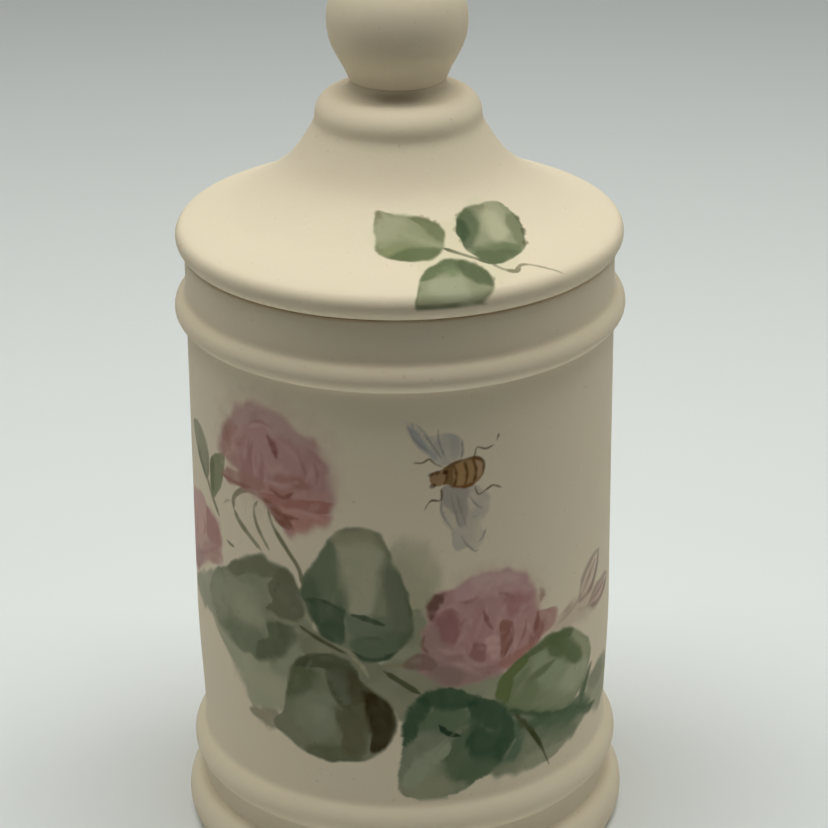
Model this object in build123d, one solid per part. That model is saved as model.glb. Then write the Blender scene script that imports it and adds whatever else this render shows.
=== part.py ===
from build123d import *

import os
from math import cos, radians, sin, sqrt

# A covered powder jar in unglazed porcelain: a straight cast jar with two moulded beads and a
# swelling foot, a flared lid that drops into its mouth, and a ball finial stuck on the lid.
# Every piece is turned about +Z, and the origin is the middle of the foot's underside.

# Driving dimensions, in millimetres. Heights are above the surface that the jar stands on.
WALL = 3.4                   # cast wall of the jar and of the lid
BODY_RADIUS = 38.0           # straight part of the jar's side, and the rim band above the bead
WAIST_RADIUS = 37.2          # the side just above the lower bead, where it has drawn in
TAPER_HEIGHT = 43.0          # where the side starts to draw in
RIM_HEIGHT = 111.0           # flat rim that the lid rests on
MOUTH_RADIUS = 34.4

BEAD_PROUD = 2.0             # how far a bead stands out of the side
BEAD_COVE = 1.2              # hollow round where a bead meets the side above it
UPPER_BEAD_HEIGHT = 100.7
UPPER_BEAD_ROUND = 2.5
LOWER_BEAD_HEIGHT = 15.2
LOWER_BEAD_ROUND = 3.3

GROOVE_RADIUS = 37.5         # recessed band between the lower bead and the foot
FOOT_TOP = 8.0
FOOT_BELLY_HEIGHT = 2.8      # where the foot is widest
FOOT_BELLY_RADIUS = 40.6
FOOT_EDGE_RADIUS = 39.5      # at the surface that it stands on
FOOT_RING_INNER = 33.0       # the underside inside this ring is raised off the surface
FOOT_RECESS = 2.0
INNER_CORNER = 5.0           # round between the jar's floor and its inside wall

LID_EDGE_RADIUS = 39.5       # widest part of the lid's brim
LID_EDGE_HEIGHT = 2.8        # from the rim to that widest part
LID_SEAT_RADIUS = 37.3       # outer edge of the flat that rests on the rim
BRIM_ROUND = 2.3             # round over the brim's edge
BRIM_SLOPE = 24.0            # degrees, where the round runs into the brim's top
FLANGE_CLEARANCE = 1.6       # loose: the lid can sit that far off the middle of the mouth
FLANGE_THICKNESS = 2.6
FLANGE_DEPTH = 6.5
FLARE = [(28.2, 120.4), (20.2, 125.9), (15.4, 132.6)]  # the top, between the brim and the collar
COLLAR_RADIUS = 14.6         # the neck at the top of the flare
COLLAR_HEIGHT = 135.6        # where the flare ends and the round shoulder starts
COLLAR_LEAN = (-0.12, 1)     # the flare's direction where it ends
SHOULDER_RADIUS = 10.4       # inner edge of the shoulder, where the cove under the ball starts
SHOULDER_HEIGHT = 139.1
SEAT_RADIUS = 8.5            # small boss that carries the finial
SEAT_HEIGHT = 141.5
DOME = [(29.3, 114.6), (22.6, 118.8), (16.3, 125.2), (12.3, 132.4), (8.6, 136.9)]  # the hollow below
DOME_TOP = 138.2
DOME_SPRING = 0.5            # how far above the rim the hollow starts to close in

BALL_RADIUS = 12.3
BALL_HEIGHT = 152.0          # centre of the ball
BALL_NECK_ANGLE = 31.0       # degrees below the ball's middle where it runs into its neck

EDGE_SOFTENING = 0.5         # small rounds that sponging leaves on the raw clay's edges


def turned(*edges):
    """Closes an outline, drawn as (radius, height), and turns it about the Z axis."""
    return revolve(Plane.XZ * make_face(edges), Axis.Z)


def soften(solid, radius, height, amount):
    """Rounds the circular edge of a turned solid that lies at one radius and height."""
    tolerance = 0.02
    rings = [
        edge
        for edge in solid.edges().filter_by(GeomType.CIRCLE)
        if abs(edge.radius - radius) < tolerance and abs(edge.arc_center.Z - height) < tolerance
    ]
    return fillet(rings, amount)


def bead(side_below, side_above, height, rounding):
    """A bead's outline, an arc of a circle, from the side just below it to the side just above it."""
    centre = (side_below + side_above) / 2 + BEAD_PROUD - rounding
    drop = sqrt(rounding**2 - (side_below - centre) ** 2)
    rise = sqrt(rounding**2 - (side_above - centre) ** 2)
    crest = (centre + rounding, height)
    return ThreePointArc((side_below, height - drop), crest, (side_above, height + rise))


def jar_body():
    """The jar: cast wall, floor, raised underside, foot, two beads and the flat rim."""
    foot_reach = FOOT_TOP - FOOT_BELLY_HEIGHT
    foot_swell = FOOT_BELLY_RADIUS - BODY_RADIUS
    foot = ThreePointArc(
        (FOOT_EDGE_RADIUS, 0),
        (FOOT_BELLY_RADIUS, FOOT_BELLY_HEIGHT),
        (BODY_RADIUS + foot_swell * cos(radians(45)), FOOT_BELLY_HEIGHT + foot_reach * sin(radians(45))),
    )
    foot_shoulder = TangentArc(foot @ 1, (GROOVE_RADIUS, FOOT_TOP), tangent=foot % 1)
    lower_bead = bead(GROOVE_RADIUS, WAIST_RADIUS, LOWER_BEAD_HEIGHT, LOWER_BEAD_ROUND)
    upper_bead = bead(BODY_RADIUS, BODY_RADIUS, UPPER_BEAD_HEIGHT, UPPER_BEAD_ROUND)
    waist = lower_bead @ 1
    draw_in = (TAPER_HEIGHT - waist.Y) / 3
    side = Bezier(
        waist,
        waist + (0, draw_in),
        (BODY_RADIUS, TAPER_HEIGHT - draw_in),
        (BODY_RADIUS, TAPER_HEIGHT),
    )
    floor_height = FOOT_RECESS + WALL
    outside = [
        foot,
        foot_shoulder,
        Line(foot_shoulder @ 1, lower_bead @ 0),
        lower_bead,
        side,
        Line(side @ 1, upper_bead @ 0),
        upper_bead,
        Line(upper_bead @ 1, (BODY_RADIUS, RIM_HEIGHT)),
    ]
    inside = Polyline(
        (BODY_RADIUS, RIM_HEIGHT),
        (MOUTH_RADIUS, RIM_HEIGHT),
        (MOUTH_RADIUS, floor_height),
        (0, floor_height),
        (0, FOOT_RECESS),
        (FOOT_RING_INNER, FOOT_RECESS),
        (FOOT_RING_INNER + FOOT_RECESS, 0),
        (FOOT_EDGE_RADIUS, 0),
    )
    body = turned(*outside, *inside.edges())
    body = soften(body, WAIST_RADIUS, waist.Y, BEAD_COVE)
    body = soften(body, BODY_RADIUS, (upper_bead @ 1).Y, BEAD_COVE)
    body = soften(body, MOUTH_RADIUS, floor_height, INNER_CORNER)
    body = soften(body, BODY_RADIUS, RIM_HEIGHT, EDGE_SOFTENING)
    body = soften(body, MOUTH_RADIUS, RIM_HEIGHT, EDGE_SOFTENING)
    body = soften(body, FOOT_EDGE_RADIUS, 0, EDGE_SOFTENING)
    return body


def lid():
    """The lid: rounded brim, flared dome, collar, finial seat, and the flange inside the mouth."""
    flange_radius = MOUTH_RADIUS - FLANGE_CLEARANCE
    flange_bore = flange_radius - FLANGE_THICKNESS
    flange_bottom = RIM_HEIGHT - FLANGE_DEPTH
    edge_height = RIM_HEIGHT + LID_EDGE_HEIGHT
    round_centre = LID_EDGE_RADIUS - BRIM_ROUND
    under_edge = TangentArc((LID_EDGE_RADIUS, edge_height), (LID_SEAT_RADIUS, RIM_HEIGHT), tangent=(0, -1))
    over_edge = CenterArc((round_centre, edge_height), BRIM_ROUND, 0, 90 - BRIM_SLOPE)
    flare = Spline(
        over_edge @ 1, *FLARE, (COLLAR_RADIUS, COLLAR_HEIGHT), tangents=(over_edge % 1, COLLAR_LEAN)
    )
    shoulder = TangentArc(flare @ 1, (SHOULDER_RADIUS, SHOULDER_HEIGHT), tangent=COLLAR_LEAN)
    seat_cove = TangentArc(shoulder @ 1, (SEAT_RADIUS, SEAT_HEIGHT), tangent=shoulder % 1)
    dome = Spline(
        (flange_bore, RIM_HEIGHT + DOME_SPRING), *DOME, (0, DOME_TOP), tangents=((0, 1), (-1, 0))
    )
    underside = Polyline(
        (LID_SEAT_RADIUS, RIM_HEIGHT),
        (flange_radius, RIM_HEIGHT),
        (flange_radius, flange_bottom),
        (flange_bore, flange_bottom),
        dome @ 0,
    )
    top = Polyline(seat_cove @ 1, (0, SEAT_HEIGHT), dome @ 1)
    outside = [under_edge, over_edge, flare, shoulder, seat_cove]
    cover = turned(*outside, *top.edges(), dome, *underside.edges())
    cover = soften(cover, flange_radius, flange_bottom, EDGE_SOFTENING)
    return soften(cover, flange_bore, flange_bottom, EDGE_SOFTENING)


def ball_finial():
    """The ball, whose short neck stands on the lid's seat."""
    top = BALL_HEIGHT + BALL_RADIUS
    angle = radians(BALL_NECK_ANGLE)
    neck_start = (BALL_RADIUS * cos(angle), BALL_HEIGHT - BALL_RADIUS * sin(angle))
    ball = ThreePointArc((0, top), (BALL_RADIUS, BALL_HEIGHT), neck_start)
    neck = TangentArc(ball @ 1, (SEAT_RADIUS, SEAT_HEIGHT), tangent=ball % 1)
    base = Polyline(neck @ 1, (0, SEAT_HEIGHT), (0, top))
    return turned(ball, neck, *base.edges())


os.makedirs("parts", exist_ok=True)
export_step(jar_body(), "parts/jar_body.step")
export_step(lid(), "parts/lid.step")
export_step(ball_finial(), "parts/ball_finial.step")
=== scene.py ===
from math import atan2, cos, degrees, hypot, pi, radians, sin, sqrt

import bpy
import numpy as np
from mathutils import Matrix, Vector


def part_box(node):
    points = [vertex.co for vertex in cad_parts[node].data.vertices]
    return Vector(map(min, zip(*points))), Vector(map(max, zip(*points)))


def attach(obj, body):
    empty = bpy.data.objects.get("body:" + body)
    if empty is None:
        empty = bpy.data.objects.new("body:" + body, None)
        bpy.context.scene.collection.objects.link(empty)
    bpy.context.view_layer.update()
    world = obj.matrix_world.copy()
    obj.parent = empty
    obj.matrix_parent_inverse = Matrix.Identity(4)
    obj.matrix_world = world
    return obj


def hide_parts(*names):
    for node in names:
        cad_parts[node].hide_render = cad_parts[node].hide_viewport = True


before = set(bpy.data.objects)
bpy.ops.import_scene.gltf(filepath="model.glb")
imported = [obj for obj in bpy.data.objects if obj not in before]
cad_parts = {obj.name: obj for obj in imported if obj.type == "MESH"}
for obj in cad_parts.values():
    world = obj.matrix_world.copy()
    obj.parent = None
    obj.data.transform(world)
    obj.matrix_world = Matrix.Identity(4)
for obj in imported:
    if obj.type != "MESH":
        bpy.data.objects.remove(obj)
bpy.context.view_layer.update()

# The looks of a hand-painted powder jar in matt porcelain. Lengths are in millimetres until a
# mesh, lamp or camera is made, heights are above the surface that the jar stands on, and the
# painted front faces -Y.
MM = 0.001


def sizes(node):
    """A CAD node's greatest radius, lowest height and highest height."""
    low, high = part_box(node)
    return high[0] / MM, low[2] / MM, high[2] / MM


FOOT_BELLY_RADIUS, _, RIM_HEIGHT = sizes("jar_body")
LID_EDGE_RADIUS, FLANGE_BOTTOM, SEAT_HEIGHT = sizes("lid")
BALL_RADIUS, _, BALL_TOP = sizes("ball_finial")
BALL_HEIGHT = BALL_TOP - BALL_RADIUS

# Outline of the jar
BODY_RADIUS = 38.0
WAIST_RADIUS = 37.2
TAPER_HEIGHT = 43.0
MOUTH_RADIUS = 34.4
BEAD_PROUD = 2.0
UPPER_BEAD_HEIGHT = 100.7
UPPER_BEAD_ROUND = 2.5
LOWER_BEAD_HEIGHT = 15.2
LOWER_BEAD_ROUND = 3.3
GROOVE_RADIUS = 37.5
FOOT_TOP = 8.0
FOOT_BELLY_HEIGHT = 2.8
FOOT_EDGE_RADIUS = 39.5
FOOT_RING_INNER = 33.0
FOOT_RECESS = 2.0
FLOOR_HEIGHT = 5.4

# Outline of the lid and the finial
LID_EDGE_HEIGHT = 2.8
LID_SEAT_RADIUS = 37.3
BRIM_ROUND = 2.3
BRIM_SLOPE = 24.0
FLANGE_RADIUS = 32.8
FLANGE_BORE = 30.2
FLARE = [(28.2, 120.4), (20.2, 125.9), (15.4, 132.6), (14.6, 135.6)]
COLLAR_LEAN = (-0.12, 1)
SHOULDER = (10.4, 139.1)
SEAT_RADIUS = 8.5
DOME = [
    (FLANGE_BORE, 111.5), (29.3, 114.6), (22.6, 118.8), (16.3, 125.2), (12.3, 132.4), (8.6, 136.9),
    (0, 138.2),
]
BALL_NECK_ANGLE = 31.0

COLUMNS = 180                # columns of cells round a turned piece
DEPTH = 3                    # how often a cell under fine paint is halved
FINE = 2**DEPTH
SIDE_STEP = 1.33             # height of a cell where the piece is painted
PLAIN_STEP = 4.0             # and where it isn't
BEND_STEP = radians(14)      # how far an outline turns from one row of cells to the next

# Waves that sponging leaves in the surface: height in millimetres, number round the piece, and where
# they start and how much they turn per millimetre up, in radians. The inset keeps their crests at the
# CAD's surface, to within 0.02 mm.
UNEVEN_WAVES = ((0.035, 2, 0.7, 0.02), (0.025, 5, 0, -0.05), (0.015, 11, 0, 0.11))
UNEVEN_INSET = 0.06


# ---------------------------------------------------------------- outlines

def through(points, closed=False, first=None, last=None, step=0.15):
    """A smooth line through points, sampled about every step. first and last are end directions."""
    points = np.array(points, float)
    if closed:
        chain = np.vstack([points[-1:], points, points[:2]])
    else:
        before, after = 2 * points[0] - points[1], 2 * points[-1] - points[-2]
        if first is not None:
            before = points[1] - 2 * np.array(first) / hypot(*first) * hypot(*(points[1] - points[0]))
        if last is not None:
            after = points[-2] + 2 * np.array(last) / hypot(*last) * hypot(*(points[-1] - points[-2]))
        chain = np.vstack([before, points, after])
    line = []
    for a, b, c, d in zip(chain, chain[1:], chain[2:], chain[3:]):
        count = max(3, int(hypot(*(c - b)) / step))
        t = np.linspace(0, 1, count, endpoint=False)[:, None]
        bend, twist = 2 * a - 5 * b + 4 * c - d, 3 * b - a - 3 * c + d
        line.append(b + (c - a) * t / 2 + bend * t**2 / 2 + twist * t**3 / 2)
    if not closed:
        line.append(points[-1:])
    return np.vstack(line)


def arc(centre, radius, start, stop):
    """Part of a circle, from one angle to another, in degrees from the outward direction."""
    turn = np.radians(np.linspace(start, stop, 60))
    return np.column_stack([centre[0] + radius * np.cos(turn), centre[1] + radius * np.sin(turn)])


def tangent_arc(start, heading, end):
    """The arc that leaves start along heading and arrives at end."""
    start, end, heading = np.array(start, float), np.array(end, float), np.array(heading, float)
    normal = np.array([-heading[1], heading[0]]) / hypot(*heading)
    reach = end - start
    radius = reach @ reach / (2 * reach @ normal)
    centre = start + radius * normal
    first = atan2(*(start - centre)[::-1])
    last = atan2(*(end - centre)[::-1])
    if radius > 0 and last < first:
        last += 2 * pi
    if radius < 0 and last > first:
        last -= 2 * pi
    return arc(centre, abs(radius), degrees(first), degrees(last))


def arc_through(start, middle, end):
    """The arc through three points."""
    (ax, ay), (bx, by), (cx, cy) = start, middle, end
    lines = np.array([[bx - ax, by - ay], [cx - ax, cy - ay]])
    squares = np.array([bx**2 + by**2 - ax**2 - ay**2, cx**2 + cy**2 - ax**2 - ay**2]) / 2
    centre = np.linalg.solve(lines, squares)
    heading = np.array([ay - centre[1], centre[0] - ax])
    if heading @ (np.array(middle) - start) < 0:
        heading = -heading
    return tangent_arc(start, heading, end)


def heading_at_end(line):
    return line[-1] - line[-2]


def joined(stretches, rounds):
    """Joins stretches of outline, easing the corner after each one by its number in rounds.

    Returns points about 0.05 mm apart, their distances along the outline, and the distance at
    which each stretch ends."""
    line = np.array(stretches[0], float)
    marks = []
    for stretch, ease in zip(stretches[1:], rounds):
        stretch = np.array(stretch, float)
        if ease:
            corner = line[-1]
            start, line = cut(line[::-1], ease)
            line = line[::-1]
            end, stretch = cut(stretch, ease)
            t = np.linspace(0, 1, 16)[1:-1, None]
            line = np.vstack([line, start * (1 - t) ** 2 + 2 * corner * t * (1 - t) + end * t**2])
        marks.append(lengths(line)[-1])
        line = np.vstack([line, stretch])
    along = lengths(line)
    count = int(along[-1] / 0.05)
    even = np.linspace(0, along[-1], count)
    points = np.column_stack([np.interp(even, along, line[:, axis]) for axis in (0, 1)])
    return points, even, marks


def lengths(line):
    return np.concatenate([[0], np.cumsum(np.hypot(*np.diff(line, axis=0).T))])


def cut(line, amount):
    """Takes a length off a line's start. Returns the new start point and what is left."""
    along = lengths(line)
    start = np.array([np.interp(amount, along, line[:, axis]) for axis in (0, 1)])
    return start, np.vstack([start, line[along > amount]])


def bead(side_below, side_above, height, rounding):
    centre = (side_below + side_above) / 2 + BEAD_PROUD - rounding
    below = degrees(atan2(sqrt(rounding**2 - (side_below - centre) ** 2), side_below - centre))
    above = degrees(atan2(sqrt(rounding**2 - (side_above - centre) ** 2), side_above - centre))
    return arc((centre, height), rounding, -below, above)


def jar_outline():
    """From the middle of the underside, up the outside, over the rim and down to the floor."""
    half = radians(45)
    foot = arc_through(
        (FOOT_EDGE_RADIUS, 0),
        (FOOT_BELLY_RADIUS, FOOT_BELLY_HEIGHT),
        (BODY_RADIUS + (FOOT_BELLY_RADIUS - BODY_RADIUS) * cos(half),
         FOOT_BELLY_HEIGHT + (FOOT_TOP - FOOT_BELLY_HEIGHT) * sin(half)),
    )
    shoulder = tangent_arc(foot[-1], heading_at_end(foot), (GROOVE_RADIUS, FOOT_TOP))
    lower = bead(GROOVE_RADIUS, WAIST_RADIUS, LOWER_BEAD_HEIGHT, LOWER_BEAD_ROUND)
    upper = bead(BODY_RADIUS, BODY_RADIUS, UPPER_BEAD_HEIGHT, UPPER_BEAD_ROUND)
    t = np.linspace(0, 1, 40)
    ease = t * t * (3 - 2 * t)
    taper = np.column_stack([
        WAIST_RADIUS + (BODY_RADIUS - WAIST_RADIUS) * ease,
        lower[-1][1] + (TAPER_HEIGHT - lower[-1][1]) * t,
    ])
    side = np.vstack([taper, (BODY_RADIUS, upper[0][1])])
    stretches = [
        [(0, FOOT_RECESS), (FOOT_RING_INNER, FOOT_RECESS)],
        [(FOOT_RING_INNER, FOOT_RECESS), (FOOT_RING_INNER + FOOT_RECESS, 0)],
        [(FOOT_RING_INNER + FOOT_RECESS, 0), (FOOT_EDGE_RADIUS, 0)],
        np.vstack([foot, shoulder[1:]]),
        [shoulder[-1], lower[0]],
        lower,
        side,
        upper,
        [upper[-1], (BODY_RADIUS, RIM_HEIGHT)],
        [(BODY_RADIUS, RIM_HEIGHT), (MOUTH_RADIUS, RIM_HEIGHT)],
        [(MOUTH_RADIUS, RIM_HEIGHT), (MOUTH_RADIUS, FLOOR_HEIGHT)],
        [(MOUTH_RADIUS, FLOOR_HEIGHT), (0, FLOOR_HEIGHT)],
    ]
    rounds = [0.5, 0.4, 0.8, 0.5, 0.4, 0.9, 0.25, 1.0, 0.6, 0.6, 5.0]
    points, along, marks = joined(stretches, rounds)
    return points, along, (marks[5], marks[6])


def lid_outline():
    """From the top of the hollow, down inside the flange, round the brim and up to the finial's seat."""
    edge_height = RIM_HEIGHT + LID_EDGE_HEIGHT
    seat = (LID_SEAT_RADIUS, RIM_HEIGHT)
    under = tangent_arc((LID_EDGE_RADIUS, edge_height), (0, -1), seat)[::-1]
    over = arc((LID_EDGE_RADIUS - BRIM_ROUND, edge_height), BRIM_ROUND, 0, 90 - BRIM_SLOPE)
    flare = through([over[-1], *FLARE], first=heading_at_end(over), last=COLLAR_LEAN)
    shoulder = tangent_arc(flare[-1], COLLAR_LEAN, SHOULDER)
    cove = tangent_arc(shoulder[-1], heading_at_end(shoulder), (SEAT_RADIUS, SEAT_HEIGHT))
    stretches = [
        through(DOME, first=(0, 1), last=(-1, 0))[::-1],
        [DOME[0], (FLANGE_BORE, FLANGE_BOTTOM)],
        [(FLANGE_BORE, FLANGE_BOTTOM), (FLANGE_RADIUS, FLANGE_BOTTOM)],
        [(FLANGE_RADIUS, FLANGE_BOTTOM), (FLANGE_RADIUS, RIM_HEIGHT)],
        [(FLANGE_RADIUS, RIM_HEIGHT), seat],
        under,
        np.vstack([over, flare[1:]]),
        np.vstack([shoulder, cove[1:]]),
        [(SEAT_RADIUS, SEAT_HEIGHT), (0, SEAT_HEIGHT)],
    ]
    rounds = [0, 0.6, 0.6, 0.3, 0.2, 0, 0, 0.15]
    points, along, marks = joined(stretches, rounds)
    return points, along, (marks[5], marks[6])


def ball_outline():
    """From the seat up the neck and round the ball to its top."""
    turn = radians(BALL_NECK_ANGLE)
    start = (BALL_RADIUS * cos(turn), BALL_HEIGHT - BALL_RADIUS * sin(turn))
    neck = tangent_arc(start, (-sin(turn), -cos(turn)), (SEAT_RADIUS, SEAT_HEIGHT))[::-1]
    ball = arc((0, BALL_HEIGHT), BALL_RADIUS, -BALL_NECK_ANGLE, 90)
    stretches = [[(0, SEAT_HEIGHT), (SEAT_RADIUS, SEAT_HEIGHT)], np.vstack([neck, ball[1:]])]
    points, along, _ = joined(stretches, [0.15])
    return points, along, None


# ---------------------------------------------------------------- turned meshes

def row_places(points, along, painted):
    """Spaces rows of cells along an outline, closer where it is painted or bends."""
    steps = np.diff(along)
    heading = np.unwrap(np.arctan2(*np.diff(points, axis=0).T[::-1]))
    bend = np.abs(np.diff(heading, append=heading[-1]))
    middle = (along[1:] + along[:-1]) / 2
    longest = np.full(len(middle), PLAIN_STEP)
    if painted:
        longest[(middle > painted[0]) & (middle < painted[1])] = SIDE_STEP
    cost = np.concatenate([[0], np.cumsum(steps / longest + bend / BEND_STEP)])
    return cost / cost[-1] * round(cost[-1])


def hand_made(azimuth, height):
    """How far the hand left the surface out of round, in millimetres."""
    waves = [
        size * np.sin(count * azimuth + start + twist * height)
        for size, count, start, twist in UNEVEN_WAVES
    ]
    return sum(waves) - UNEVEN_INSET


class Turned:
    """A turned surface as a grid: columns round the axis and rows along the outline."""

    def __init__(self, outline):
        self.points, self.along, painted = outline
        self.row_at = row_places(self.points, self.along, painted)
        self.rows = int(round(self.row_at[-1]))
        self.levels = np.zeros((self.rows, COLUMNS), int)
        self.tint = None
        if painted:
            low, high = np.interp(painted, self.along, self.row_at)
            self.first, self.last = int(np.ceil(low)), int(high)

    def place(self, column, row):
        """Positions of grid corners, which are FINE to a cell each way."""
        azimuth = (column / (COLUMNS * FINE) * 2 - 1) * pi
        radius = np.interp(row / FINE, self.row_at, self.points[:, 0])
        height = np.interp(row / FINE, self.row_at, self.points[:, 1])
        reach = radius + hand_made(azimuth, height) * np.clip(radius / BALL_RADIUS, 0, 1)
        return np.stack([reach * np.sin(azimuth), -reach * np.cos(azimuth), height], -1), azimuth

    def painted_grid(self):
        """Positions and azimuths of every fine corner in the painted rows."""
        columns = np.arange(COLUMNS * FINE + 1)
        rows = np.arange(self.first * FINE, self.last * FINE + 1)
        return self.place(columns[None, :] + 0 * rows[:, None], rows[:, None] + 0 * columns[None, :])

    def take_paint(self, tint, tolerance=0.045):
        """Keeps the painted grid's tints, and halves cells until blends between corners match them."""
        self.tint = tint
        shape = (self.last - self.first, COLUMNS)
        wanted = np.zeros(shape, int)
        for level in range(DEPTH):
            stride = FINE >> level
            error = np.abs(tint - spread(tint[::stride, ::stride], stride)).max(-1)
            blocks = error[:-1, :-1].reshape(shape[0], FINE, COLUMNS, FINE).max((1, 3))
            wanted[blocks > tolerance] = level + 1
        self.levels[self.first:self.last] = wanted

    def mesh(self, name):
        """Builds the mesh. A cell beside finer ones shares their corners on that side, so nothing gapes."""
        levels = self.levels
        index, corners, faces = {}, [], []

        def corner(column, row):
            on_axis = row in (0, self.rows * FINE) and abs(self.points[0 if row == 0 else -1, 0]) < 1e-6
            key = (0 if on_axis else column % (COLUMNS * FINE), row)
            if key not in index:
                index[key] = len(corners)
                corners.append(key)
            return index[key]

        for j in range(self.rows):
            for i in range(COLUMNS):
                level = levels[j, i]
                step = FINE >> level
                sides = (
                    levels[j - 1, i] if j else 0,
                    levels[j, (i + 1) % COLUMNS],
                    levels[j + 1, i] if j + 1 < self.rows else 0,
                    levels[j, i - 1],
                )
                below, right, above, left = (FINE >> max(level, side) for side in sides)
                x0, y0 = i * FINE, j * FINE
                for y in range(y0, y0 + FINE, step):
                    bottom_step = below if y == y0 else step
                    top_step = above if y + step == y0 + FINE else step
                    for x in range(x0, x0 + FINE, step):
                        right_step = right if x + step == x0 + FINE else step
                        left_step = left if x == x0 else step
                        ring = [corner(q, y) for q in range(x, x + step, bottom_step)]
                        ring += [corner(x + step, q) for q in range(y, y + step, right_step)]
                        ring += [corner(q, y + step) for q in range(x + step, x, -top_step)]
                        ring += [corner(x, q) for q in range(y + step, y, -left_step)]
                        ring = [v for k, v in enumerate(ring) if v != ring[k - 1]]
                        faces.append(ring)
        keys = np.array(corners)
        places, _ = self.place(keys[:, 0], keys[:, 1])
        data = bpy.data.meshes.new(name)
        data.from_pydata([tuple(p) for p in places * MM], [], faces)
        data.shade_smooth()
        tints = np.ones((len(keys), 4))
        if self.tint is not None:
            painted = (keys[:, 1] >= self.first * FINE) & (keys[:, 1] <= self.last * FINE)
            tints[painted, :3] = self.tint[keys[painted, 1] - self.first * FINE, keys[painted, 0]]
        layer = data.color_attributes.new("tint", "FLOAT_COLOR", "POINT")
        layer.data.foreach_set("color", tints.ravel())
        return data


def spread(coarse, stride):
    """Fills a grid in between its corners, stride to a cell, in straight lines."""
    for axis in (0, 1):
        coarse = np.moveaxis(coarse, axis, 0)
        t = np.arange((len(coarse) - 1) * stride + 1) / stride
        low = np.minimum(t.astype(int), len(coarse) - 2)
        part = (t - low).reshape(-1, *[1] * (coarse.ndim - 1))
        coarse = np.moveaxis(coarse[low] * (1 - part) + coarse[low + 1] * part, 0, axis)
    return coarse


# ---------------------------------------------------------------- painting

# Each colour is the share of red, green and blue that the fired paint lets the clay give back.
PINK_LIGHT = (0.75, 0.55, 0.67)
PINK = (0.68, 0.46, 0.56)
PINK_DEEP = (0.60, 0.38, 0.45)
ROSE = (0.50, 0.28, 0.34)
CORAL = (0.73, 0.43, 0.46)
WINE = (0.36, 0.18, 0.18)
GREEN_LIGHT = (0.47, 0.54, 0.48)
GREEN_GREY = (0.36, 0.43, 0.38)
GREEN_DULL = (0.24, 0.28, 0.22)
GREEN_DARK = (0.18, 0.24, 0.18)
GREEN_DEEP = (0.08, 0.155, 0.11)
SPRING = (0.20, 0.28, 0.14)
BROWN = (0.07, 0.05, 0.018)
STEM = (0.38, 0.40, 0.33)
WING_BLUE = (0.46, 0.55, 0.76)
WING_LINE = (0.44, 0.45, 0.52)
BEE_GOLD = (0.60, 0.43, 0.25)
BEE_BROWN = (0.22, 0.14, 0.07)


def ramp(x):
    x = np.clip(x, 0, 1)
    return x * x * (3 - 2 * x)


def noise(x, y, seed):
    """Smooth random hills, about one unit apart, from -1 to 1."""
    hills = np.random.default_rng(seed).uniform(-1, 1, (64, 64))
    column, row = np.floor(x).astype(int), np.floor(y).astype(int)
    across, up = ramp(x - column), ramp(y - row)
    lower = hills[row % 64, column % 64] * (1 - across) + hills[row % 64, (column + 1) % 64] * across
    row = row + 1
    upper = hills[row % 64, column % 64] * (1 - across) + hills[row % 64, (column + 1) % 64] * across
    return lower * (1 - up) + upper * up


class Ware:
    """Clay to paint on: each fine corner's place, in millimetres across and up, and its tint."""

    VEIL = 0.035  # share of its light that bare clay gives back before the paint can take any away

    def __init__(self, across, up):
        self.across, self.up = across, up
        self.tint = np.ones(across.shape + (3,))

    def near(self, low, high):
        inside = (self.across > low[0]) & (self.across < high[0]) & (self.up > low[1]) & (self.up < high[1])
        at = np.nonzero(inside)
        return at, np.column_stack([self.across[at], self.up[at]])

    def lay(self, at, strength, tint):
        old = self.tint[at]
        self.tint[at] = old + np.clip(strength, 0, 1)[:, None] * (np.array(tint) - old)

    def fired(self):
        """The tint of the paint alone, deep enough to show its colour through the clay's own sheen."""
        return np.clip((self.tint - self.VEIL) / (1 - self.VEIL), 0.005, 1)


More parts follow.
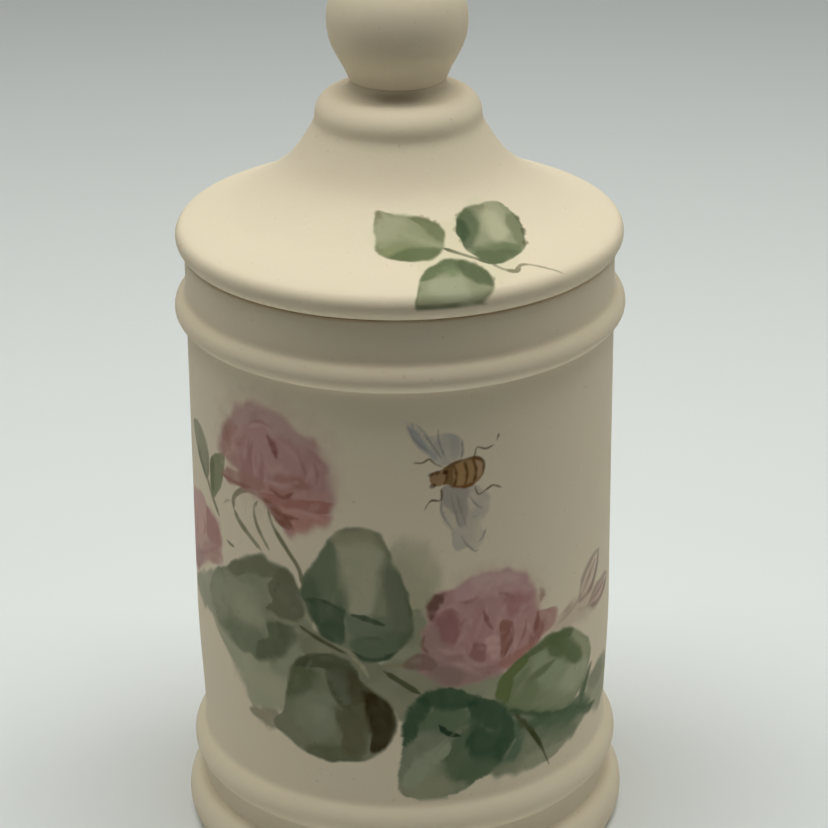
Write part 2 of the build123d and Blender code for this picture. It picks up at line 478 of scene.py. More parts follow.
class Form:
    """A painted shape inside a closed outline, with a soft or toothed edge."""

    def __init__(self, ware, outline, seed, soft=0.5, uneven=0.35, teeth=0, tooth=0.35):
        self.ware, self.seed = ware, seed
        edge = through(outline, closed=True)
        self.centre = (edge.min(0) + edge.max(0)) / 2
        self.size = (edge.max(0) - edge.min(0)) / 2
        self.at, self.spot = ware.near(edge.min(0) - 2 - soft, edge.max(0) + 2 + soft)
        offset = edge - self.centre
        angle, reach = np.arctan2(offset[:, 1], offset[:, 0]), np.hypot(*offset.T)
        order = np.argsort(angle)
        away = self.spot - self.centre
        turn = np.arctan2(away[:, 1], away[:, 0])
        limit = np.interp(turn, angle[order], reach[order], period=2 * pi)
        self.depth = limit - np.hypot(*away.T)
        self.depth += uneven * noise(self.spot[:, 0] / 1.9, self.spot[:, 1] / 1.9, seed)
        self.depth += 0.2 * uneven * noise(self.spot[:, 0] / 0.7, self.spot[:, 1] / 0.7, seed + 1)
        if teeth:
            saw = turn * teeth / (2 * pi) % 1
            self.depth += tooth * (saw - 0.5)
        blur = soft * (1 + 0.5 * noise(self.spot[:, 0] / 5, self.spot[:, 1] / 5, seed + 2))
        self.mask = ramp(self.depth / blur + 0.5)
        self.whole = np.zeros(ware.across.shape)
        self.whole[self.at] = self.mask

    def wash(self, tint, strength=1.0, patchy=0.05, scale=3.5):
        """Covers the whole shape, a little unevenly."""
        x, y = self.spot.T
        patches = 1 - patchy + patchy * noise(x / scale, y / scale, self.seed + 2)
        self.ware.lay(self.at, self.mask * strength * patches, tint)

    def patch(self, outline, tint, strength=0.97, soft=0.7, streak=0.05):
        """A second wash over part of the shape, with its own edge and faint brush streaks."""
        part = Form(self.ware, outline, self.seed + len(outline), 1.7 * soft, uneven=0.5)
        x, y = part.spot.T
        along, over = (1.0, 4.0) if part.size[0] < part.size[1] else (4.0, 1.0)
        grain = 1 - streak + streak * noise(x / along / 0.5, y / over / 0.5, self.seed + 7)
        clouds = 1 - streak + streak * noise(x / 1.6, y / 1.6, self.seed + 8)
        self.ware.lay(part.at, part.mask * self.whole[part.at] * strength * grain * clouds, tint)

    def rim(self, tint, strength, width=0.6, fade=3.0):
        """Darkens the edge in places, where wet paint gathered."""
        patches = ramp(0.5 + noise(self.spot[:, 0] / fade, self.spot[:, 1] / fade, self.seed + 3))
        self.ware.lay(self.at, self.mask * strength * patches * np.exp(-(self.depth / width) ** 2), tint)

    def notches(self, start, end, count, tint, strength=0.8):
        """Short dark points along part of the edge, from one direction to another in degrees."""
        for k, turn in enumerate(np.linspace(start, end, count)):
            size = 0.75 + 0.25 * sin(2.4 * k + self.seed)
            turn += 2.5 * sin(4.1 * k)
            c, s = cos(radians(turn)), sin(radians(turn))
            ray = (self.spot - self.centre) @ np.array([c, s])
            off = np.abs((self.spot - self.centre) @ np.array([-s, c]))
            on_edge = (off < 0.4) & (ray > 0) & (np.abs(self.depth) < 0.3)
            if not on_edge.any():
                continue
            reach = float(np.median(ray[on_edge]))
            tip = self.centre + np.array([c, s]) * (reach + 0.05)
            dab(self.ware, tip, (0.85 * size, 0.6 * size), turn + 60, tint, strength * size, crisp=0.8)

    def touches(self, count, seed, tints, strength=0.4):
        """Scatters short curved touches of the brush, to break up the washes."""
        rng = np.random.default_rng(seed)
        for _ in range(count):
            turn = rng.uniform(0, 2 * pi)
            away = np.array([cos(turn), sin(turn)]) * sqrt(rng.uniform(0.01, 0.95))
            tint = tints[rng.integers(len(tints))]
            length = rng.uniform(1.0, 2.6)
            size = (length, length * rng.uniform(0.25, 0.45))
            lean = degrees(turn) + 90 + rng.uniform(-35, 35)
            press = strength * rng.uniform(0.5, 1)
            dab(self.ware, self.centre + away * self.size, size, lean, tint, press, form=self)


def dab(ware, middle, size, turn, tint, strength, crisp=0.7, bristles=0.3, form=None):
    """One touch of the brush: an oval with bristle streaks along it, kept inside form."""
    reach = max(size) + 0.5
    middle = np.array(middle, float)
    at, spot = ware.near(middle - reach, middle + reach)
    if not len(spot):
        return
    c, s = cos(radians(turn)), sin(radians(turn))
    u = (spot - middle) @ np.array([c, s])
    v = (spot - middle) @ np.array([-s, c])
    seed = int(abs(middle[0] * 31 + middle[1] * 17 + turn)) % 997
    wave = 0.25 * noise(u / 1.3, v / 1.3, seed)
    fall = np.clip(1 - (u / size[0]) ** 2 - (v / size[1]) ** 2 + wave, 0, 1) ** crisp
    streak = 1 - bristles + bristles * noise(u / max(size[0], 1.5), v / 0.45, seed + 5)
    inside = 1.0 if form is None else form.whole[at]
    ware.lay(at, inside * strength * ramp(fall) * streak, tint)


def stroke(ware, points, width, tint, strength=0.9, ends=0.3, soft=0.14, uneven=0.25):
    """A brush line through points, thin at its ends."""
    line = through(points)
    reach = width + soft
    at, spot = ware.near(line.min(0) - reach, line.max(0) + reach)
    if not len(spot):
        return
    gap = np.hypot(spot[:, None, 0] - line[None, :, 0], spot[:, None, 1] - line[None, :, 1])
    along = gap.argmin(1) / (len(line) - 1)
    thin = np.minimum(1, np.minimum(along, 1 - along) / max(ends, 1e-6) + 0.3)
    seed = int(abs(points[0][0] * 13 + points[0][1] * 7)) % 997
    press = 1 + uneven * noise(along * 5, 0 * along, seed)
    half = width / 2 * thin * press
    mask = ramp((half + soft - gap.min(1)) / (2 * soft))
    ware.lay(at, mask * strength * np.clip(press, 0.6, 1.1), tint)


def strokes(ware, lines, width, tint, strength=0.8, **how):
    for points in lines:
        stroke(ware, points, width, tint, strength, **how)


def rose_one(ware):
    """The drooping rose at the upper left."""
    dab(ware, (-24, 83.6), (16, 13), -20, (0.86, 0.76, 0.80), 0.75, bristles=0.1)
    rose = Form(ware, [
        (-37.4, 80.6), (-36.6, 84.5), (-34.4, 88), (-31.4, 91), (-27.4, 92.6), (-22.6, 92), (-18.6, 90),
        (-15, 87.6), (-12.9, 84.6), (-12.6, 80.6), (-11.6, 77.8), (-11.8, 76), (-12.8, 73.2), (-15.6, 71.8),
        (-20, 69.4), (-23, 71.8), (-25.6, 74.4), (-29, 76), (-33, 78.6),
    ], 11, soft=2.2, uneven=0.7)
    rose.wash((0.67, 0.46, 0.55), 0.97)
    rose.patch([
        (-33, 87), (-29, 91.8), (-22, 92), (-16.6, 88.8), (-20, 86.6), (-27, 88),
    ], (0.72, 0.56, 0.66), soft=1.8)
    rose.patch([
        (-37, 82), (-35, 87.4), (-31.6, 86.6), (-30.4, 82), (-33, 79.4), (-36, 79.6),
    ], (0.62, 0.42, 0.46))
    rose.patch([(-33.6, 85.6), (-31, 86.4), (-30, 83), (-32, 81), (-34, 82.6)], (0.69, 0.47, 0.53))
    rose.patch([(-36.6, 87), (-34, 87), (-33.6, 84.4), (-35.2, 83), (-37.4, 84)], (0.54, 0.34, 0.37), 0.85)
    rose.patch([(-30.8, 84.6), (-29, 85.6), (-28.2, 80), (-29.4, 77.4), (-31.4, 79)], (0.59, 0.36, 0.43))
    rose.patch([
        (-28, 87.6), (-24.8, 88.6), (-24.4, 84), (-25.4, 78.4), (-27.6, 79.6), (-28.6, 83.6),
    ], (0.71, 0.48, 0.59))
    rose.patch([
        (-27.4, 83.6), (-26.2, 84), (-25.6, 80), (-26.2, 77.4), (-27.4, 79.6),
    ], (0.56, 0.33, 0.40), 0.8)
    rose.patch([(-22.8, 87.6), (-19, 86.4), (-17, 82.4), (-19, 79.6), (-22.6, 80.6)], (0.69, 0.46, 0.56))
    rose.patch([(-17, 86.2), (-13.6, 84.6), (-12.4, 80.6), (-14.6, 77.8), (-17.4, 80)], (0.62, 0.41, 0.48))
    rose.patch([
        (-15.8, 84.8), (-14, 83.4), (-14, 80.4), (-15.6, 79.6), (-16.4, 82),
    ], (0.68, 0.46, 0.55), soft=0.5)
    rose.patch([(-22.4, 80.4), (-18, 81), (-17.2, 78.8), (-20, 77.8), (-23, 78.6)], (0.55, 0.33, 0.36))
    rose.patch([
        (-26.4, 78), (-21, 77.8), (-16, 79), (-12.4, 79.2), (-13.4, 77.4), (-19, 76.4), (-25.6, 75.4),
    ], (0.69, 0.46, 0.51))
    rose.patch([(-24.4, 78.4), (-21, 78.4), (-19.6, 77.4), (-22, 76.4), (-25, 76.8)], (0.63, 0.37, 0.41))
    rose.patch([
        (-26.6, 76), (-22, 76.6), (-17, 77), (-12.2, 77.2), (-13.2, 75), (-18, 74.7), (-22, 74.6),
        (-26, 74.6),
    ], (0.57, 0.29, 0.31), soft=0.6)
    rose.patch([
        (-24.6, 74.4), (-20.6, 75), (-15, 74.6), (-12.4, 74.2), (-14.4, 71.8), (-19.6, 69.8), (-22.8, 71.8),
    ], CORAL)
    rose.patch([
        (-26.6, 75.4), (-23.4, 74.6), (-19.8, 71.6), (-21.2, 70.8), (-24.4, 72.4),
    ], (0.33, 0.17, 0.14), 0.85)
    rose.touches(90, 21, [PINK_LIGHT, PINK_LIGHT, PINK_DEEP, ROSE], 0.36)
    stroke(ware, [
        (-26, 77.6), (-31.5, 77.1), (-36.8, 76.5),
    ], 3.2, (0.58, 0.37, 0.41), 0.95, ends=0.2, soft=0.4)
    stroke(ware, [(-29, 76.4), (-33, 76), (-37, 76.2)], 0.8, (0.46, 0.25, 0.27), 0.8, soft=0.3)
    strokes(ware, [
        [(-33.4, 84), (-31.4, 86.4), (-29.8, 88.4)], [(-28.4, 88.2), (-25.6, 89.4), (-22.4, 88.4)],
        [(-27.2, 86.6), (-26.8, 83), (-27.2, 79.6)], [(-22, 86.6), (-19.8, 85.6), (-18, 83.4)],
        [(-24.6, 80.4), (-22.6, 81.7), (-20.4, 81.4)], [(-17, 80.6), (-15.6, 82.6), (-14, 84)],
        [(-25.4, 78.8), (-21.6, 78.6), (-18.6, 80)], [(-21, 74), (-17.6, 74.6), (-14, 73.8)],
        [(-30.4, 81), (-30, 83.6), (-29.4, 86)], [(-35.6, 80.4), (-34.2, 81.4), (-33, 83.4)],
    ], 1.0, (0.79, 0.58, 0.68), 0.55, ends=0.5, soft=0.45)
    stroke(ware, [
        (-24.6, 87.2), (-23.4, 85.6), (-22.9, 83.8),
    ], 1.7, (0.38, 0.18, 0.21), 0.95, ends=0.5, soft=0.4)
    strokes(ware, [
        [(-28.1, 85.4), (-28.8, 82.4), (-28.7, 79.8)], [(-35.6, 86), (-35.3, 85), (-34.8, 84)],
        [(-32.4, 83.4), (-31.6, 83.8), (-31.2, 84.8)], [(-29, 88.4), (-26.4, 89.6), (-23.6, 89)],
        [(-15.4, 84.2), (-14.8, 82.4), (-15, 80.4)], [(-18.2, 84.6), (-17.2, 82.6), (-17.2, 80.8)],
        [(-20, 79.6), (-18, 79.2), (-15.4, 79.8)],
    ], 0.7, (0.50, 0.29, 0.34), 0.6, ends=0.5, soft=0.3)
    strokes(ware, [
        [(-24.2, 77.4), (-21.6, 76.5), (-19.4, 77.9)], [(-24.2, 73), (-22.6, 71.6), (-20.6, 70.6)],
        [(-22.6, 73.4), (-20.8, 73), (-18.6, 73.1)],
    ], 0.75, WINE, 0.8, ends=0.4, soft=0.3)


def rose_two(ware):
    """The open rose at the right."""
    dab(ware, (16, 54), (13, 12), 0, (0.86, 0.76, 0.81), 0.75, bristles=0.1)
    rose = Form(ware, [
        (3.2, 52), (3.8, 55.6), (5, 58.6), (6.6, 60.4), (9.2, 60.8), (11.6, 62.6), (15, 63.4), (19, 63),
        (22, 61.4), (24.2, 58.8), (25, 56), (26, 53.2), (29.8, 52.4), (29.4, 49.6), (26.4, 47.2),
        (23, 45.2), (20, 43.8), (16, 42.6), (11, 42.4), (7, 42.8), (4.6, 44.6), (2.6, 46), (3, 49),
    ], 31, soft=1.6, uneven=0.6)
    rose.wash((0.64, 0.41, 0.51), 0.97)
    rose.patch([
        (9.2, 60.6), (15, 63.4), (21, 61.8), (24.6, 57.6), (20, 57.6), (14, 58.6), (10, 58),
    ], (0.76, 0.55, 0.69), soft=1.0)
    rose.patch([
        (12.6, 62.6), (18, 62.8), (21, 61), (17, 60.2), (13, 60.6),
    ], (0.82, 0.64, 0.75), 0.8, soft=1.0)
    rose.patch([
        (5.4, 55.6), (8.4, 56.8), (10, 54), (9.4, 50.8), (6.6, 50.4), (5.4, 53),
    ], (0.46, 0.25, 0.32))
    rose.patch([
        (3.2, 53), (5.6, 54.8), (6.8, 51.4), (9, 49.4), (6, 47.6), (3.4, 49.6),
    ], (0.55, 0.39, 0.46), soft=0.6)
    rose.patch([
        (9.4, 49.8), (11, 54.6), (13.8, 57.6), (14.8, 54), (14, 50.6), (11.8, 48.4),
    ], (0.63, 0.40, 0.49), soft=0.5)
    rose.patch([
        (15.4, 52.2), (16.8, 57), (19.4, 56.8), (20.2, 53.4), (17.6, 51),
    ], (0.68, 0.45, 0.55), soft=0.5)
    rose.patch([(19, 57.6), (23.4, 57.6), (23.6, 54.4), (20.6, 53.2), (18.8, 55)], (0.59, 0.34, 0.43))
    rose.patch([
        (17.6, 52.8), (19.8, 52.2), (19.6, 49), (17.9, 46), (17.2, 49),
    ], (0.44, 0.23, 0.23), soft=0.4)
    rose.patch([
        (14.8, 50.6), (17.2, 50.6), (17.5, 47.6), (16, 46), (14.6, 47.8),
    ], (0.88, 0.62, 0.75), 0.95, soft=0.5)
    rose.patch([
        (12.2, 50.2), (14.4, 49.4), (14.8, 46.4), (13, 46.2), (11.8, 48),
    ], (0.45, 0.24, 0.30), soft=0.4)
    rose.patch([
        (20, 51.6), (22.6, 54), (24.6, 52.4), (23.4, 48.6), (20.8, 47.2),
    ], (0.68, 0.44, 0.53), soft=0.4)
    rose.patch([
        (25.6, 53), (29.6, 52.8), (30.4, 50.6), (28, 48.2), (25.8, 47.6), (25, 50),
    ], (0.68, 0.48, 0.52), soft=0.5)
    rose.patch([
        (24.8, 51.8), (26.6, 50.4), (26.2, 47.6), (24, 46), (23.4, 48),
    ], (0.48, 0.27, 0.30), soft=0.5)
    rose.patch([
        (17.2, 45), (21, 46.6), (25.4, 47.2), (22.4, 44.6), (19.4, 43.4),
    ], (0.58, 0.32, 0.34), soft=0.5)
    rose.patch([
        (5.4, 47.6), (10, 48.8), (13, 46), (17, 44.4), (14, 42.4), (8, 42.4), (4.6, 45),
    ], (0.53, 0.37, 0.44))
    rose.patch([(4.4, 46), (8, 46), (11, 43.8), (8, 42), (5, 43.4)], (0.42, 0.33, 0.37), soft=0.9)
    rose.touches(80, 41, [PINK_LIGHT, PINK_LIGHT, PINK_DEEP, ROSE], 0.34)
    strokes(ware, [
        [(6, 56.8), (8.4, 57.7), (10.4, 56.4)], [(9.2, 50), (10.8, 52.6), (12.6, 55.8)],
        [(12.6, 51), (13.6, 53.4), (15, 56.6)], [(16.3, 51.4), (17.3, 54), (18.8, 56.8)],
        [(20.4, 52.6), (22, 54.6), (24.4, 55.4)], [(10.2, 49.4), (11.6, 46.6), (14.6, 45.2)],
        [(19.9, 50.8), (20.6, 48), (19.8, 46)], [(5.8, 49.8), (8.4, 48.8), (10.6, 48.6)],
        [(13, 59.6), (16.4, 60.6), (20, 59.6)], [(21.6, 51.4), (23.4, 50.6), (24.4, 48.6)],
        [(8, 46.8), (10.4, 46), (13.4, 43.8)], [(26.6, 52.4), (28, 51.2), (28.4, 49.6)],
    ], 1.0, (0.80, 0.59, 0.70), 0.5, ends=0.5, soft=0.4)
    lobe = Form(ware, [
        (0, 47.4), (2.2, 49.4), (4.8, 48.6), (5.8, 46.4), (3, 45.6), (0.4, 46.2),
    ], 37, soft=0.8)
    lobe.wash((0.33, 0.24, 0.25), 0.85)
    stroke(ware, [(4.8, 55.8), (5.2, 58.4), (7, 60.3)], 2.0, (0.29, 0.18, 0.19), 0.95, soft=0.5)
    stroke(ware, [(25.9, 57.3), (26.4, 56.3), (26, 55)], 1.3, (0.50, 0.36, 0.36), 0.7, soft=0.45)
    strokes(ware, [
        [(25.4, 53), (25.2, 50.8), (24.7, 49.2)], [(14.2, 56), (15, 53.6), (15.9, 52.2)],
        [(3.5, 52.4), (3.2, 50.6), (4.1, 49.2)], [(19.8, 52.4), (19.9, 49.8), (18.4, 46.6)],
    ], 0.8, (0.38, 0.19, 0.21), 0.75, ends=0.5, soft=0.28)
    strokes(ware, [
        [(22.8, 52.2), (22.4, 49.8), (21, 47.4)], [(9.6, 58.4), (11.4, 58.2), (13, 58.8)],
        [(8.8, 51.2), (9.4, 53.2), (10.8, 55)], [(17.2, 58.8), (19.2, 58), (20.4, 56.6)],
        [(12.2, 49.8), (12.9, 47.4), (14.4, 46.2)], [(6.4, 56.6), (8, 57.2), (9.6, 56.2)],
    ], 0.6, (0.50, 0.28, 0.33), 0.7, ends=0.5, soft=0.28)


def side_flower(ware):
    """The flower that turns away round the left side."""
    flower = Form(ware, [
        (-38, 63), (-39, 66), (-42.5, 67.6), (-46.5, 68.8), (-51.5, 67.8), (-56, 65.2), (-59.5, 61.5),
        (-61.5, 57.5), (-60, 53.2), (-56, 51), (-51.5, 51.6), (-47, 54.4), (-43, 56.6), (-38.4, 58.4),
    ], 51, soft=1.4, uneven=0.5)
    flower.wash((0.77, 0.58, 0.67), 0.97)
    flower.patch([
        (-44, 66.8), (-40, 66), (-38.6, 62), (-41, 60.4), (-44.4, 62),
    ], (0.60, 0.38, 0.44), soft=0.9)
    flower.patch([(-53, 66), (-46, 68.4), (-44.4, 64), (-48, 60), (-54, 60)], (0.84, 0.62, 0.72), soft=1.2)
    flower.patch([
        (-44, 60.4), (-39.4, 61), (-39.4, 58.4), (-44, 56), (-49, 56),
    ], (0.69, 0.51, 0.57), soft=0.7)
    flower.patch([(-51, 56.6), (-46, 55.4), (-50, 51.8), (-57, 51.4)], (0.60, 0.46, 0.55), soft=0.9)
    flower.touches(50, 61, [PINK_LIGHT, PINK_LIGHT, PINK, PINK_DEEP], 0.35)
    strokes(ware, [
        [(-39.6, 61), (-44.6, 58), (-51, 55)], [(-42.6, 65.6), (-41, 63.4), (-42, 61.6)],
        [(-46, 64.4), (-45.2, 62.6), (-46.4, 60.6)], [(-52, 63), (-50.6, 61), (-51.6, 58.6)],
    ], 0.7, (0.56, 0.36, 0.42), 0.6, ends=0.5, soft=0.35)


def leaf_one(ware):
    """The soft grey leaf at the left."""
    leaf = Form(ware, [
        (-17.8, 55.3), (-18.2, 58), (-19.2, 61), (-21, 63), (-24.5, 63.6), (-27, 64.2), (-30, 62.6),
        (-33.5, 60.6), (-37.5, 58.2), (-41, 55.8), (-43.2, 52.5), (-43, 49), (-40.5, 46), (-36, 44.4),
        (-31.5, 43.4), (-27, 43.2), (-24, 44.4), (-21.6, 46.6), (-20, 49.6), (-19.2, 52.4),
    ], 71, soft=1.2, uneven=0.5)
    leaf.wash(GREEN_GREY)
    leaf.patch([
        (-43, 54), (-36, 57), (-30, 57.4), (-27, 54.5), (-29, 52), (-34, 50.5), (-43, 49),
    ], (0.45, 0.52, 0.47), soft=1.8)
    leaf.patch([
        (-33, 54), (-29, 53.6), (-26.4, 52), (-27, 50), (-32, 49), (-35, 51),
    ], (0.51, 0.57, 0.52), soft=1.2)
    leaf.patch([
        (-37, 59), (-31, 62.6), (-26, 64.6), (-20.6, 63.4), (-20, 61), (-25, 60.2), (-30, 59.6),
        (-34, 57.6),
    ], (0.27, 0.31, 0.25), soft=1.1)
    leaf.patch([
        (-37, 48), (-28, 49.2), (-26.5, 46), (-28, 43.2), (-33, 43.6), (-38, 45),
    ], (0.28, 0.36, 0.30), soft=1.4)
    leaf.patch([
        (-24.8, 60.5), (-21, 63), (-18.6, 61), (-17.4, 56), (-19.4, 53.2), (-26.2, 53.8), (-24.4, 56),
        (-25.4, 58),
    ], (0.24, 0.265, 0.215), 0.95, soft=0.4)
    leaf.patch([
        (-26.2, 51.4), (-22, 52.2), (-19.4, 51.2), (-21, 47), (-24.5, 44.6), (-28.4, 43.6), (-28.6, 46.5),
        (-25.6, 48.5),
    ], (0.19, 0.24, 0.185), 0.95, soft=0.5)
    leaf.touches(40, 211, [GREEN_LIGHT, GREEN_DULL, GREEN_DARK], 0.22)
    leaf.rim(GREEN_DULL, 0.45, width=0.8)
    stroke(ware, [(-18.4, 52.9), (-23, 52.6), (-28.5, 53.4)], 0.8, (0.45, 0.50, 0.44), 0.75, soft=0.35)
    strokes(ware, [
        [(-24.2, 57.8), (-23.4, 58.8), (-23.2, 60)], [(-23.6, 52.2), (-22.6, 50.4), (-23, 48.6)],
    ], 0.5, (0.15, 0.17, 0.12), 0.45, soft=0.3)


def leaf_two(ware):
    """The tall leaf in the middle."""
    leaf = Form(ware, [
        (-18.4, 59.5), (-17.4, 63), (-14.8, 67.5), (-12, 71.2), (-9, 72.7), (-6, 72.8), (-3.4, 71.2),
        (-2.2, 68), (-0.6, 64.5), (0.8, 60.5), (1.8, 56), (1.2, 52.4), (-1, 49.8), (-4, 47.8), (-7, 47.6),
        (-8.8, 49.4), (-11.6, 50.4), (-14.6, 51.6), (-16.8, 55),
    ], 81, soft=0.9, uneven=0.35)
    leaf.wash((0.33, 0.40, 0.34))
    leaf.patch([
        (-12.8, 72), (-6, 73.8), (-2.2, 71), (-2.2, 68), (-7, 69), (-12.6, 68.2),
    ], (0.47, 0.51, 0.44), soft=1.3)
    leaf.patch([
        (-11.4, 69), (-7, 70), (-3.4, 68.4), (-4.4, 64), (-5, 59), (-5.8, 55.8), (-9.2, 56), (-9.6, 60),
        (-11, 65),
    ], (0.62, 0.68, 0.63), soft=1.3)
    leaf.patch([
        (-18.6, 60), (-16.4, 65), (-13, 70), (-11.6, 68), (-11.2, 62), (-10.4, 57.6), (-14, 58.2),
        (-18.4, 57),
    ], (0.25, 0.33, 0.27), soft=1.0)
    leaf.patch([
        (-10, 56), (-5.4, 56.2), (-1.4, 57), (0, 54), (-3, 52), (-9, 52),
    ], (0.27, 0.35, 0.30), soft=0.9)
    leaf.patch([
        (-18.2, 57.8), (-14, 58.2), (-10.6, 57.2), (-10.5, 51), (-13, 50.4), (-16.6, 54),
    ], (0.11, 0.18, 0.14), 0.97, soft=0.45)
    leaf.patch([
        (-3, 66.4), (-0.4, 64), (1.6, 58), (1.9, 54), (-1, 53), (-2.4, 57), (-3.2, 61),
    ], (0.25, 0.30, 0.26), soft=1.0)
    leaf.patch([
        (-9, 51.6), (-5, 52.6), (-1, 52.8), (0.9, 50.4), (-3.6, 47.2), (-7.8, 47), (-9.2, 49),
    ], (0.195, 0.275, 0.23), soft=0.8)
    leaf.patch([
        (-18.6, 62), (-15.6, 62), (-14.4, 59), (-16, 57.4), (-19, 57.6),
    ], (0.17, 0.235, 0.19), soft=0.9)
    leaf.patch([(-0.2, 53.4), (1.8, 54), (2, 51), (-0.4, 49.6), (-1.4, 51)], (0.19, 0.25, 0.19), soft=0.8)
    leaf.touches(40, 212, [GREEN_LIGHT, GREEN_DULL, GREEN_DARK], 0.22)
    leaf.rim(GREEN_DARK, 0.45, width=0.8)
    stroke(ware, [(-9, 49.2), (-7, 48), (-3.8, 48), (-1.2, 49.6)], 0.8, (0.09, 0.15, 0.11), 0.8, soft=0.25)
    stroke(ware, [
        (-9, 56.3), (-6.6, 55.8), (-3.4, 54.7),
    ], 1.25, (0.12, 0.18, 0.14), 0.95, ends=0.5, soft=0.15)
    stroke(ware, [(-17.8, 57.9), (-14.5, 58.4), (-11.4, 57.2)], 0.5, (0.09, 0.14, 0.10), 0.8, soft=0.2)
    strokes(ware, [
        [(0.1, 60.4), (1.1, 57.8), (1, 55.4)], [(-7, 52.6), (-5.6, 51.9), (-4.2, 52.3)],
    ], 0.5, (0.17, 0.22, 0.17), 0.6, soft=0.25)


def leaf_three(ware):
    """The round leaf with a brown side."""
    leaf = Form(ware, [
        (-21.8, 41), (-20.6, 44.4), (-18, 46.8), (-15, 47.9), (-12, 48.2), (-9.2, 46.6), (-7.6, 44),
        (-5.4, 41.9), (-2.6, 39.6), (-1.6, 36.6), (-1.9, 33.2), (-3.2, 30.6), (-5.8, 28.2), (-8.6, 27),
        (-12, 26.8), (-15.2, 26.3), (-19, 27.4), (-21.6, 29.2), (-24.8, 30.6), (-25, 32.4), (-23.4, 34.2),
        (-22.4, 37),
    ], 91, soft=0.8, uneven=0.35)
    leaf.wash((0.30, 0.36, 0.30))
    leaf.patch([
        (-22, 41.5), (-19.6, 45), (-16, 44.4), (-16.6, 41), (-19.4, 38.4), (-22.2, 38),
    ], (0.19, 0.235, 0.175), soft=1.1)
    leaf.patch([
        (-21, 44.2), (-17, 48), (-12, 49), (-8.2, 46.6), (-6.8, 43), (-10, 42.2), (-13.6, 44.8),
        (-18, 44.8),
    ], (0.135, 0.155, 0.11), 0.95, soft=0.9)
    leaf.patch([
        (-19.6, 38), (-15.6, 40.8), (-13.4, 40), (-12.2, 36.6), (-12.8, 32), (-17, 30.2), (-21.2, 32.6),
    ], (0.37, 0.44, 0.39), soft=1.3)
    leaf.patch([(-17.6, 37), (-14.4, 37.6), (-13.4, 35), (-16.4, 34)], (0.43, 0.50, 0.46), soft=1.0)
    leaf.patch([
        (-25.4, 31.6), (-21, 33.6), (-17, 30), (-17, 27.4), (-21.6, 28.2),
    ], (0.33, 0.37, 0.32), soft=0.9)
    leaf.patch([
        (-18, 28.8), (-12, 29.8), (-8, 29.6), (-8, 27.2), (-13, 26), (-17.6, 26.4),
    ], (0.205, 0.245, 0.185), soft=0.9)
    leaf.patch([
        (-12.4, 36.8), (-9.6, 39), (-7, 40), (-6.2, 34), (-7.2, 29), (-11, 28.6), (-11.4, 33),
    ], (0.21, 0.22, 0.165), soft=1.0)
    leaf.patch([
        (-13.8, 44.4), (-11, 45.2), (-9.2, 42.6), (-9.6, 39.2), (-11.6, 39.4), (-13, 41.8),
    ], (0.205, 0.24, 0.195), 0.95, soft=0.4)
    leaf.patch([
        (-9.8, 45.8), (-7.4, 43.8), (-5, 41), (-7, 39.2), (-9.6, 41),
    ], (0.15, 0.145, 0.10), 0.95, soft=0.5)
    leaf.patch([
        (-6.8, 41.4), (-2.8, 40.4), (-1.2, 36.6), (-1.6, 33), (-3, 30), (-6.2, 29), (-5.8, 33.4),
        (-6.9, 37.4),
    ], BROWN, 0.97, soft=1.1)
    leaf.touches(36, 213, [GREEN_LIGHT, GREEN_DULL, GREEN_DARK], 0.22)
    leaf.rim(GREEN_DULL, 0.4, width=0.6)
    stroke(ware, [(-13.6, 42.8), (-12.3, 39.8), (-10.6, 38)], 0.9, (0.16, 0.19, 0.14), 0.8, soft=0.25)
    stroke(ware, [(-10.4, 37.8), (-8.8, 40.2), (-9.2, 43)], 0.5, (0.13, 0.13, 0.09), 0.6, soft=0.25)
    stroke(ware, [(-12.4, 35.3), (-10.6, 36), (-9.1, 37.2)], 0.55, (0.18, 0.21, 0.16), 0.7, soft=0.2)


